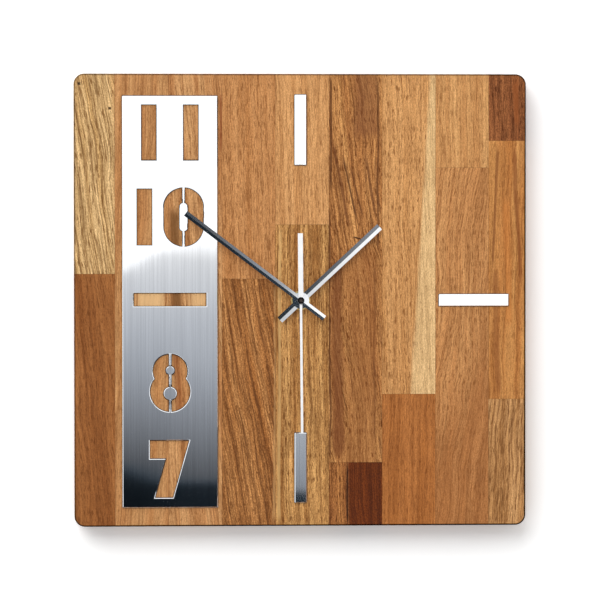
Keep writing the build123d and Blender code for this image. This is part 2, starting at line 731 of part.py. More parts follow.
def bearing_boss(point, pivot_r, z_top):
    """Tube on the back cover with a blind bore for an arbor's rear pivot."""
    outer = disc(pivot_r + RUNNING_GAP + BEARING_WALL, COVER_THICKNESS, z_top, point)
    return outer - disc(pivot_r + RUNNING_GAP, z_top - PIVOT_LENGTH, z_top, point)


def back_cover():
    side = inner_right - COVER_GAP
    cover = block(-side, side, bay_top, inner_top - COVER_GAP, 0, COVER_THICKNESS)
    corners = cover.edges().filter_by(Axis.Z).group_by(Axis.Y)[-1]
    cover = fillet(corners, CASE_CORNER_R - CASE_WALL)
    recess_r = KNOB_R + KNOB_RECESS_GAP
    recess_depth = KNOB_SINK + KNOB_HEIGHT + END_PLAY
    cover += disc(recess_r + RECESS_FLOOR, 0, recess_depth + RECESS_FLOOR, setting_xy)
    cover -= disc(recess_r, 0, recess_depth, setting_xy)
    cover -= disc(SETTING_ARBOR_R + RUNNING_GAP, 0, recess_depth + RECESS_FLOOR, setting_xy)
    for point in (rotor_xy, intermediate_xy, third_xy):
        cover += bearing_boss(point, PIVOT_R, rear_shoulder() - END_PLAY)
    cover += bearing_boss((0, 0), SECOND_ARBOR_R, rear_shoulder() - END_PLAY)
    for point in post_points()[1]:
        cover += disc(POST_R, COVER_THICKNESS, middle_z, point)
    return cover


def rear_shoulder():
    """Z of the shoulder where an arbor steps down to its rear pivot."""
    return rotor_z - 2 * PINION_OVERHANG - END_PLAY


def middle_plate():
    side = inner_right - COVER_GAP
    top = inner_top - COVER_GAP
    plate = block(-side, side, bay_top + BAY_WALL, top, middle_z, middle_top)
    corners = plate.edges().filter_by(Axis.Z).group_by(Axis.Y)[-1]
    plate = fillet(corners, CASE_CORNER_R - CASE_WALL)
    plate -= disc(cannon_neck_r() + RUNNING_GAP, middle_z, middle_top)
    plate -= disc(SETTING_ARBOR_R + RUNNING_GAP, middle_z, middle_top, setting_xy)
    for point in (rotor_xy, third_xy, intermediate_xy, motion_xy):
        plate -= disc(PIVOT_R + RUNNING_GAP, middle_z, middle_top, point)
    for point in stator_posts():
        plate += disc(POST_R, stator_z() + STATOR_THICKNESS, middle_z, point)
    for point in pcb_posts():
        plate += disc(POST_R, pcb_z() + PCB_THICKNESS, middle_z, point)
    return plate


# ---- Train (Z = 0 at the movement's back) -----------------------------------------------------
def arbor(point, body_r, body_from, body_to, rear_pivot, front_pivot):
    """Arbor with a pivot of PIVOT_R at each end, as long as each pivot's own length."""
    shaft = disc(body_r, body_from, body_to, point)
    return shaft + disc(PIVOT_R, body_from - rear_pivot, body_to + front_pivot, point)


def pivoted_arbor(point):
    """Arbor between the back cover's boss and the middle plate."""
    return arbor(
        point,
        ARBOR_R,
        rear_shoulder(),
        middle_z - END_PLAY,
        PIVOT_LENGTH,
        MIDDLE_PLATE + END_PLAY,
    )


def pinion_tip_r(teeth, module):
    return module * (teeth / 2 + PINION_ADDENDUM)


def rotor_pinion():
    low = rotor_z - PINION_OVERHANG
    high = rotor_z + WHEEL_THICKNESS + PINION_OVERHANG
    pinion = gear(ROTOR_TEETH, ROTOR_MODULE, 0, low, high, rotor_xy)
    return pinion + arbor(
        rotor_xy,
        PIVOT_R,
        rear_shoulder(),
        middle_z - END_PLAY,
        PIVOT_LENGTH,
        MIDDLE_PLATE + END_PLAY,
    )


def rotor_magnet():
    start = stator_z() + STATOR_THICKNESS / 2 - MAGNET_HEIGHT / 2
    return pipe(MAGNET_R, PIVOT_R + PUSH_GAP, start, start + MAGNET_HEIGHT, rotor_xy)


def intermediate_wheel():
    centre = intermediate_xy
    wheel_top = rotor_z + WHEEL_THICKNESS
    wheel = gear(INTERMEDIATE_TEETH, ROTOR_MODULE, intermediate_phase, rotor_z, wheel_top, centre)
    hub_r = pinion_tip_r(INTERMEDIATE_PINION_TEETH, INTERMEDIATE_MODULE)
    wheel -= wheel_windows(INTERMEDIATE_TEETH, ROTOR_MODULE, hub_r, rotor_z, wheel_top, centre)
    low = intermediate_z - PINION_OVERHANG
    high = intermediate_z + WHEEL_THICKNESS + PINION_OVERHANG
    wheel += gear(INTERMEDIATE_PINION_TEETH, INTERMEDIATE_MODULE, 0, low, high, centre)
    wheel += disc(ARBOR_R, rear_shoulder(), high, centre)
    wheel += disc(PIVOT_R, rear_shoulder() - PIVOT_LENGTH, middle_top, centre)
    return wheel


def second_wheel():
    wheel_top = intermediate_z + WHEEL_THICKNESS
    wheel = gear(SECOND_TEETH, INTERMEDIATE_MODULE, second_phase, intermediate_z, wheel_top)
    hub_r = pinion_tip_r(SECOND_PINION_TEETH, SECOND_MODULE)
    wheel -= wheel_windows(SECOND_TEETH, INTERMEDIATE_MODULE, hub_r, intermediate_z, wheel_top)
    low = second_z - PINION_OVERHANG
    high = second_z + WHEEL_THICKNESS + PINION_OVERHANG
    wheel += gear(SECOND_PINION_TEETH, SECOND_MODULE, 0, low, high)
    tube_r = SECOND_ARBOR_R + PUSH_GAP + WHEEL_HUB_WALL
    wheel += disc(tube_r, intermediate_z - PINION_OVERHANG, low)
    return wheel - disc(SECOND_ARBOR_R + PUSH_GAP, 0, middle_z)


def second_arbor():
    """Steel arbor from the back cover to the hub cap, in the clock's own frame."""
    start = movement_z + rear_shoulder() - PIVOT_LENGTH
    return disc(SECOND_ARBOR_R, start, second_top + CAP_HEIGHT / 2 - END_PLAY)


def third_wheel():
    wheel_top = second_z + WHEEL_THICKNESS
    wheel = gear(THIRD_TEETH, SECOND_MODULE, third_phase, second_z, wheel_top, third_xy)
    hub_r = pinion_tip_r(THIRD_PINION_TEETH, centre_module)
    wheel -= wheel_windows(THIRD_TEETH, SECOND_MODULE, hub_r, second_z, wheel_top, third_xy)
    low = centre_z - PINION_OVERHANG
    high = centre_z + WHEEL_THICKNESS + PINION_OVERHANG
    wheel += gear(THIRD_PINION_TEETH, centre_module, 0, low, high, third_xy)
    wheel += disc(ARBOR_R, rear_shoulder(), low, third_xy)
    wheel += disc(PIVOT_R, rear_shoulder() - PIVOT_LENGTH, middle_top, third_xy)
    return wheel


def cannon_neck_r():
    """Radius of the cannon pinion below its teeth, inside their roots."""
    return MOTION_MODULE * (CANNON_TEETH / 2 - PINION_DEDENDUM) - RUNNING_GAP


def centre_wheel():
    wheel_top = centre_z + WHEEL_THICKNESS
    wheel = gear(CENTRE_TEETH, centre_module, centre_phase, centre_z, wheel_top)
    hub_r = 2 * cannon_neck_r()
    wheel -= wheel_windows(CENTRE_TEETH, centre_module, hub_r, centre_z, wheel_top)
    wheel += disc(hub_r, centre_z - PINION_OVERHANG, middle_z - END_PLAY)
    return wheel - disc(cannon_neck_r() + PUSH_GAP, 0, middle_z)


def cannon_pinion():
    """Cannon pinion and minute pipe, in the clock's own frame."""
    low = movement_z + centre_z - PINION_OVERHANG
    teeth_low = movement_z + motion_z
    teeth_high = teeth_low + WHEEL_THICKNESS + PINION_OVERHANG
    cannon = disc(cannon_neck_r(), low, teeth_low)
    cannon += gear(CANNON_TEETH, MOTION_MODULE, 0, teeth_low, teeth_high)
    cannon += disc(MINUTE_PIPE_R, teeth_high, minute_top - HAND_SHEET)
    return cannon - disc(SECOND_ARBOR_R + RUNNING_GAP, low, minute_top)


def motion_wheel():
    wheel_top = motion_z + WHEEL_THICKNESS
    wheel = gear(MOTION_TEETH, MOTION_MODULE, motion_phase, motion_z, wheel_top, motion_xy)
    hub_r = pinion_tip_r(MOTION_PINION_TEETH, hour_module)
    wheel -= wheel_windows(MOTION_TEETH, MOTION_MODULE, hub_r, motion_z, wheel_top, motion_xy)
    high = hour_z + WHEEL_THICKNESS + PINION_OVERHANG
    wheel += gear(MOTION_PINION_TEETH, hour_module, 0, wheel_top, high, motion_xy)
    return wheel + arbor(
        motion_xy,
        ARBOR_R,
        middle_top + END_PLAY,
        front_wall_z - END_PLAY,
        MIDDLE_PLATE + END_PLAY,
        PIVOT_LENGTH - END_PLAY,
    )


def hour_wheel():
    """Hour wheel and hour pipe, in the clock's own frame."""
    low = movement_z + hour_z
    wheel = gear(HOUR_TEETH, hour_module, hour_phase, low, low + WHEEL_THICKNESS)
    wheel -= wheel_windows(HOUR_TEETH, hour_module, HOUR_PIPE_R, low, low + WHEEL_THICKNESS)
    wheel += disc(HOUR_PIPE_R, low, hour_top)
    return wheel - disc(MINUTE_PIPE_R + RUNNING_GAP, low, hour_top)


def setting_pinion():
    low = motion_z
    high = motion_z + WHEEL_THICKNESS
    pinion = gear(SETTING_TEETH, MOTION_MODULE, setting_phase, low, high, setting_xy)
    pinion += disc(SETTING_ARBOR_R, KNOB_SINK + KNOB_HEIGHT / 2, low, setting_xy)
    pinion += disc(SETTING_ARBOR_R, high, front_wall_z - END_PLAY, setting_xy)
    return pinion + disc(PIVOT_R, high, front_wall_z + PIVOT_LENGTH - END_PLAY, setting_xy)


def setting_knob():
    top = KNOB_SINK + KNOB_HEIGHT
    knob = disc(KNOB_R - KNOB_RIB_R, KNOB_SINK, top)
    ribs = Sketch() + PolarLocations(KNOB_R - KNOB_RIB_R, KNOB_RIBS) * Circle(KNOB_RIB_R)
    knob += Pos(0, 0, KNOB_SINK) * extrude(ribs, KNOB_HEIGHT)
    knob -= disc(SETTING_ARBOR_R + PUSH_GAP, KNOB_SINK + KNOB_HEIGHT / 2, top)
    return Pos(setting_xy[0], setting_xy[1], 0) * knob


# ---- Motor and electronics (Z = 0 at the movement's back) -------------------------------------
def stator_z():
    return intermediate_z + WHEEL_THICKNESS / 2


def stator_posts():
    x = rotor_xy[0]
    return [(x, STATOR_TOP_Y - STATOR_ARM / 2), (x, stator_bottom + STATOR_ARM / 2)]


def stator():
    """Flat plate round the rotor, with an arm to each end of the coil's core."""
    low = stator_z()
    high = low + STATOR_THICKNESS
    x_left = rotor_xy[0] - STATOR_WIDTH / 2 - STATOR_SHIFT
    x_right = x_left + STATOR_WIDTH
    x_far = COIL_X + STATOR_REACH
    plate = block(x_left, x_right, stator_bottom, STATOR_TOP_Y, low, high)
    plate += block(x_left, x_far, STATOR_TOP_Y - STATOR_ARM, STATOR_TOP_Y, low, high)
    plate += block(x_left, x_far, stator_bottom, stator_bottom + STATOR_ARM, low, high)
    return plate - disc(MAGNET_R + STATOR_GAP, low, high, rotor_xy)


def coil_core():
    low = stator_z() + STATOR_THICKNESS
    high = low + CORE_THICKNESS
    half = CORE_WIDTH / 2
    return block(COIL_X - half, COIL_X + half, stator_bottom, STATOR_TOP_Y, low, high)


def coil_axis():
    """Location of the coil's middle, with its own Z along the core."""
    middle_y = (STATOR_TOP_Y + stator_bottom) / 2
    height = stator_z() + STATOR_THICKNESS + CORE_THICKNESS / 2
    return Pos(COIL_X, middle_y, height) * Rot(-90, 0, 0)


def coil_bobbin():
    half = BOBBIN_LENGTH / 2
    bobbin = disc(BOBBIN_TUBE_R, -half, half)
    bobbin += disc(BOBBIN_FLANGE_R, -half, -half + BOBBIN_FLANGE)
    bobbin += disc(BOBBIN_FLANGE_R, half - BOBBIN_FLANGE, half)
    bore = Box(CORE_WIDTH + 2 * PUSH_GAP, CORE_THICKNESS + 2 * PUSH_GAP, BOBBIN_LENGTH)
    return coil_axis() * (bobbin - bore)


def coil_winding():
    half = BOBBIN_LENGTH / 2 - BOBBIN_FLANGE - PUSH_GAP
    return coil_axis() * pipe(WINDING_R, BOBBIN_TUBE_R + PUSH_GAP, -half, half)


def pcb_z():
    return middle_z - PCB_DEPTH - PCB_THICKNESS


def pcb_box():
    """Circuit board in the upper left corner of the case: left, right, bottom and top."""
    left = -inner_right + 2 * POST_R
    top = inner_top - 2 * COVER_GAP
    return left, left + BOARD_PCB_WIDTH, top - BOARD_PCB_HEIGHT, top


def pcb_posts():
    left, right, _, top = pcb_box()
    inset = 1.5 * POST_R
    return [(left + inset, top - inset), (right - inset, top - inset)]


def circuit_board():
    left, right, bottom, top = pcb_box()
    return block(left, right, bottom, top, pcb_z(), pcb_z() + PCB_THICKNESS)


def quartz_crystal():
    _, right, bottom, _ = pcb_box()
    can = Rot(-90, 0, 0) * disc(CRYSTAL_R, 0, CRYSTAL_LENGTH)
    return Pos(right - CRYSTAL_INSET, bottom + CRYSTAL_RISE, pcb_z() - CRYSTAL_R) * can


def chip():
    left, _, bottom, _ = pcb_box()
    centre = (left + CHIP_INSET, bottom + CHIP_RISE)
    blob = disc(CHIP_R, pcb_z() - CHIP_HEIGHT, pcb_z(), centre)
    return fillet(blob.faces().sort_by(Axis.Z)[0].edges(), CHIP_HEIGHT / 2)


def battery():
    """AA cell along X, with its positive nub to the left."""
    body_left = cell_left + BATTERY_NUB_LENGTH
    body = Rot(0, 90, 0) * disc(BATTERY_R, 0, BATTERY_LENGTH)
    body = fillet(body.edges(), BATTERY_EDGE_R)
    nub = Rot(0, 90, 0) * disc(BATTERY_NUB_R, -BATTERY_NUB_LENGTH, BATTERY_LENGTH / 2)
    return Pos(body_left, battery_y, battery_z) * (body + nub)


def contact_strap(x_from, x_to, y_from, y_to):
    """Strap on edge inside the case, in one stretch along X or Y."""
    low = pcb_z() - STRAP_WIDTH
    return block(x_from, x_to, y_from, y_to, low, pcb_z())


def end_plate(x_from):
    half = CONTACT_WIDTH / 2
    return block(
        x_from,
        x_from + CONTACT_SHEET,
        battery_y - half,
        battery_y + half,
        battery_z - half,
        battery_z + half,
    )


def contact_positive():
    """Plate at the cell's nub, with a strap up the case's left side to the circuit board."""
    left = -inner_right + CONTACT_GAP
    board_left, _, board_bottom, _ = pcb_box()
    tab_bottom = board_bottom + 2 * NARROW_TAB
    tab_top = tab_bottom + STRAP_WIDTH
    contact = end_plate(left)
    contact += contact_strap(left, left + CONTACT_SHEET, battery_y, tab_top)
    low = pcb_z() - CONTACT_SHEET
    contact += block(left, board_left + TAB_LENGTH, tab_bottom, tab_top, low, pcb_z())
    return contact


def contact_negative():
    """Sprung plate at the cell's flat end, with a strap along the bay wall to the circuit board."""
    right = inner_right - CONTACT_GAP
    plate_left = right - CONTACT_SHEET
    strap_y = bay_top + BAY_WALL + CONTACT_GAP
    strap_left = -inner_right + STRAP_INSET
    board_left, _, board_bottom, _ = pcb_box()
    contact = end_plate(plate_left)
    contact += contact_strap(plate_left, right, battery_y, strap_y + CONTACT_SHEET)
    contact += contact_strap(strap_left, right, strap_y, strap_y + CONTACT_SHEET)
    riser_right = strap_left + CONTACT_SHEET
    riser_top = board_bottom - 2 * NARROW_TAB
    contact += contact_strap(strap_left, riser_right, strap_y, riser_top)
    low = pcb_z() - CONTACT_SHEET
    tab_top = board_bottom + NARROW_TAB
    contact += block(strap_left, riser_right, riser_top, tab_top, low, pcb_z())
    contact += block(strap_left, board_left + TAB_LENGTH, board_bottom, tab_top, low, pcb_z())
    return contact + contact_spring(plate_left)


def contact_spring(plate_left):
    """Bent leaf between the end plate and the cell's flat end."""
    tip = cell_right + CONTACT_GAP
    half = CONTACT_WIDTH / 3
    outline = Polyline(
        (plate_left, -half), (tip, -half / 3), (tip, half / 3), (plate_left, half), close=True
    )
    inside = offset(make_face(outline), -CONTACT_SHEET, kind=Kind.INTERSECTION)
    bend = make_face(outline) - inside - Pos(CONTACT_SHEET, 0) * inside
    leaf = extrude(bend, CONTACT_WIDTH / 5, both=True)
    return Pos(0, battery_y, battery_z) * leaf


# ---- All pieces -------------------------------------------------------------------------------
def board_pieces():
    """Pieces that are made in the clock's own frame."""
    pieces = staves()
    pieces["number_plate"] = number_plate()
    pieces["plate_adhesive"] = plate_adhesive()
    for name in MARKER_INSETS:
        pieces[f"marker_{name}"] = marker(name)
    pieces["marker_adhesive"] = marker_adhesive()
    pieces["hour_hand"] = hour_hand()
    pieces["minute_hand"] = minute_hand()
    pieces["second_hand"] = second_hand()
    pieces["second_tube"] = second_tube()
    pieces["hub_cap"] = hub_cap()
    pieces["washer"] = washer()
    pieces["fixing_nut"] = fixing_nut()
    pieces["gasket"] = gasket()
    pieces["threaded_bushing"] = threaded_bushing()
    pieces["second_arbor"] = second_arbor()
    pieces["cannon_pinion"] = cannon_pinion()
    pieces["hour_wheel"] = hour_wheel()
    pieces["hanger_plate"] = hanger_plate()
    pieces["hanger_screws"] = hanger_screws()
    return pieces


def movement_pieces():
    """Pieces that are made with Z = 0 at the movement's back."""
    return {
        "movement_case": movement_case(),
        "back_cover": back_cover(),
        "middle_plate": middle_plate(),
        "rotor_pinion": rotor_pinion(),
        "rotor_magnet": rotor_magnet(),
        "intermediate_wheel": intermediate_wheel(),
        "second_wheel": second_wheel(),
        "third_wheel": third_wheel(),
        "centre_wheel": centre_wheel(),
        "motion_wheel": motion_wheel(),
        "setting_pinion": setting_pinion(),
        "setting_knob": setting_knob(),
        "stator": stator(),
        "coil_core": coil_core(),
        "coil_bobbin": coil_bobbin(),
        "coil_winding": coil_winding(),
        "circuit_board": circuit_board(),
        "quartz_crystal": quartz_crystal(),
        "chip": chip(),
        "battery": battery(),
        "contact_positive": contact_positive(),
        "contact_negative": contact_negative(),
    }


def place(shape):
    """From the clock's own frame to the part's frame."""
    return Pos(0, 0, -HANGER_RISE) * (Plane.XZ * shape)


os.makedirs("parts", exist_ok=True)
for name, shape in board_pieces().items():
    export_step(place(shape), f"parts/{name}.step")
for name, shape in movement_pieces().items():
    export_step(place(Pos(0, 0, movement_z) * shape), f"parts/{name}.step")
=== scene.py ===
import json
import math
from typing import NamedTuple

import bpy
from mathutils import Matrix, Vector

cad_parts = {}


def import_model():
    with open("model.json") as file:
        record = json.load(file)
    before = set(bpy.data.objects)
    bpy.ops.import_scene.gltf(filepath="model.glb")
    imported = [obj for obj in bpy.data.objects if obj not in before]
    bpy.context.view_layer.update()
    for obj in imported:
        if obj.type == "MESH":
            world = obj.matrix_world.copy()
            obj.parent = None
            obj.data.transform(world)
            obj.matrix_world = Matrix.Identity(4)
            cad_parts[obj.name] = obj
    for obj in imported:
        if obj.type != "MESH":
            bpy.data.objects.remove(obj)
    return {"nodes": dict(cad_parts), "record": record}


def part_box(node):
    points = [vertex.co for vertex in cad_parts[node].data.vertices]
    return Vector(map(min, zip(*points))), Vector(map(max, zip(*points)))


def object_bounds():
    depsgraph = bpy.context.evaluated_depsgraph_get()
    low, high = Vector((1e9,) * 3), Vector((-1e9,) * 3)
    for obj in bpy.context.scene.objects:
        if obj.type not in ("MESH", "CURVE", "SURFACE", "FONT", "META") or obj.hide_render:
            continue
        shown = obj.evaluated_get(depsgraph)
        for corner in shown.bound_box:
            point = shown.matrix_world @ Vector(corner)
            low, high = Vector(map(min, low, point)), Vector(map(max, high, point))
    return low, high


# Looks of the wall clock: a procedural material for every node, and the studio. The scene is in
# metres in the part's own frame: +Z up, the dial facing -Y, the wall at Y = 0. Places and sizes in
# the materials are in millimetres from the hands' axis, X right and Z up, with the wall at Y = 0.

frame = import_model()
nodes = frame["nodes"]
cad_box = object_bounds()

MM = 0.001


def middle(node):
    low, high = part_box(node)
    return (low + high) / 2


hub = middle("hub_cap")
board_low, board_high = cad_box
face_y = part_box("stave_e_lower")[0].y


# ---- Node trees -------------------------------------------------------------------------------
class Look:
    """A material's node tree, with one short method for each kind of node that is used here.

    Scales of noise are cells per millimetre. Noise stays between about 0.3 and 0.7, so most steps
    that turn it into a tone, a share or a roughness start and end there.
    """

    def __init__(self, name):
        self.material = bpy.data.materials.new(name)
        self.material.use_nodes = True
        self.tree = self.material.node_tree
        self.shader = self.tree.nodes["Principled BSDF"]

    def node(self, kind, inputs=(), **settings):
        made = self.tree.nodes.new(kind)
        for name, value in settings.items():
            setattr(made, name, value)
        for socket, value in dict(inputs).items():
            self.put(made.inputs[socket], value)
        return made

    def put(self, socket, value):
        """Links a socket, or sets its own value."""
        if isinstance(value, bpy.types.NodeSocket):
            self.tree.links.new(value, socket)
        else:
            socket.default_value = value

    def surface(self, shader):
        """Puts another shader in the place of the Principled one."""
        self.put(self.tree.nodes["Material Output"].inputs["Surface"], shader)
        return self.material

    def math(self, operation, first, second=0.0):
        made = self.node("ShaderNodeMath", {0: first, 1: second}, operation=operation)
        return made.outputs[0]

    def add(self, first, second):
        return self.math("ADD", first, second)

    def less(self, first, second):
        """The first value less the second."""
        return self.math("SUBTRACT", first, second)

    def times(self, first, second):
        return self.math("MULTIPLY", first, second)

    def absolute(self, value):
        return self.math("ABSOLUTE", value)

    def most(self, first, second):
        return self.math("MAXIMUM", first, second)

    def least(self, first, second):
        return self.math("MINIMUM", first, second)

    def distance(self, first, second):
        """Length of the vector that has these two parts."""
        return self.math("SQRT", self.add(self.times(first, first), self.times(second, second)))

    def step(self, value, start, end, low=0.0, high=1.0):
        """Smooth step of a value from low at start to high at end."""
        made = self.node(
            "ShaderNodeMapRange",
            {"Value": value, "From Min": start, "From Max": end, "To Min": low, "To Max": high},
            interpolation_type="SMOOTHSTEP",
        )
        return made.outputs["Result"]

    def vector(self, x, y, z):
        return self.node("ShaderNodeCombineXYZ", {"X": x, "Y": y, "Z": z}).outputs[0]

    def parts(self, vector):
        """A vector's X, Y and Z."""
        return self.node("ShaderNodeSeparateXYZ", {0: vector}).outputs

    def noise(self, vector, scale=1.0, detail=2.0, roughness=0.5):
        inputs = {"Vector": vector, "Scale": scale, "Detail": detail, "Roughness": roughness}
        return self.node("ShaderNodeTexNoise", inputs).outputs["Fac"]

    def cells(self, vector, scale, feature="F1"):
        inputs = {"Vector": vector, "Scale": scale}
        return self.node("ShaderNodeTexVoronoi", inputs, feature=feature)

    def mix(self, share, first, second, blend="MIX"):
        """Mixes two colours. Each is a socket or three numbers."""
        made = self.node("ShaderNodeMix", data_type="RGBA", blend_type=blend)
        self.put(made.inputs[0], share)
        for socket, value in ((made.inputs[6], first), (made.inputs[7], second)):
            linked = isinstance(value, bpy.types.NodeSocket)
            self.put(socket, value if linked else (*value, 1.0))
        return made.outputs[2]

    def shade(self, colour, tone):
        """Multiplies a colour by a grey tone."""
        return self.mix(1.0, colour, self.vector(tone, tone, tone), "MULTIPLY")

    def turn(self, vector, kind, start, end):
        """Takes a vector from one space to another."""
        settings = {"vector_type": kind, "convert_from": start, "convert_to": end}
        made = self.node("ShaderNodeVectorTransform", **settings)
        self.put(made.inputs[0], vector)
        return made.outputs[0]

    def object_place(self):
        """Object coordinates, in metres."""
        return self.node("ShaderNodeTexCoord").outputs["Object"]

    def place(self):
        """X, Y and Z in millimetres from the hands' axis at the wall."""
        centre = (hub.x, 0.0, hub.z)
        inputs = {0: self.object_place(), 1: centre}
        moved = self.node("ShaderNodeVectorMath", inputs, operation="SUBTRACT")
        scaled = self.node("ShaderNodeVectorMath", {0: moved.outputs[0]}, operation="SCALE")
        scaled.inputs["Scale"].default_value = 1 / MM
        x, y, z = self.parts(scaled.outputs[0])
        return x, y, z

    def bump(self, height, distance, strength=1.0):
        inputs = {"Height": height, "Strength": strength, "Distance": distance}
        self.put(self.shader.inputs["Normal"], self.node("ShaderNodeBump", inputs).outputs[0])

    def finish(self, **values):
        """Sets the shader's sockets. Underscores stand for spaces."""
        for name, value in values.items():
            socket = self.shader.inputs[name.replace("_", " ").title().replace("Ior", "IOR")]
            if isinstance(value, tuple):
                value = (*value, 1.0)
            self.put(socket, value)
        return self.material


def srgb(red, green, blue):
    """Linear colour from display values of 0 to 255."""
    def linear(value):
        share = value / 255
        return share / 12.92 if share <= 0.04045 else ((share + 0.055) / 1.055) ** 2.4

    return linear(red), linear(green), linear(blue)


def wear(node, material):
    slots = nodes[node].data.materials
    slots.clear()
    slots.append(material)


# ---- Oak --------------------------------------------------------------------------------------
BOARD_HALF = (board_high.x - board_low.x) / 2 / MM
FACE = face_y / MM
CORNER_R = 7.0              # of the board
OIL = (1.0, 0.965, 0.85)    # warm tint of the oil on every stave
RIM_SHADE_AND_GLUE = srgb(16, 7, 2)  # painted shade on the board's rounded rim, and the real dark lines of glue
RIM_WIDTH = 1.35            # of the painted rim shade, round the front and back edges
RIM_SPECULAR = 0.16
SEAM_WIDTH = 0.22           # of the glue line between staves
SEAM_SHARE = 0.42
END_GRAIN_DARK = (0.34, 0.28, 0.24)
END_GRAIN_LIGHT = (0.66, 0.60, 0.54)
MARK_DEPTH = (-19.0, -12.0)  # Y over which a mark on the face fades into the wood
MARK_FADE = 9.0             # length of the fade at each end of a mark
PORE_LIMIT = 0.60           # noise over this is a pore
PORE_TONE = (0.40, 0.30, 0.20)  # of a pore, as shares of the early wood's colour


class Rings(NamedTuple):
    """Dark lines that follow the grain, where the growth rings are cut at a slant."""

    pitch: float
    width: float            # share of the pitch
    share: float            # of the line's colour
    colour: tuple


class Mark(NamedTuple):
    """A streak, patch or knot seen on one stave alone, between two places (X, Z)."""

    top: tuple
    bottom: tuple
    width: float            # to each side
    share: float
    colour: tuple


class Tint(NamedTuple):
    """A colour that fills one stave to the right of a line, from X at its top to X at its foot."""

    x_top: float
    x_bottom: float
    softness: float
    share: float
    colour: tuple


class Stave(NamedTuple):
    """How one stave looks. Dark and light are the colours of its early and late wood."""

    seed: float
    dark: tuple
    light: tuple
    slope: float            # of the grain, in degrees
    warp: float             # how far the grain wanders, in millimetres
    streaks: float          # contrast of the growth rings
    pores: float            # strength of the open pores
    crisp: float = 1.0      # contrast of the fibres
    pore_size: float = 0.45
    rays: float = 0.0       # strength of the pale flecks
    rings: Rings = None
    tints: tuple = ()
    marks: tuple = ()


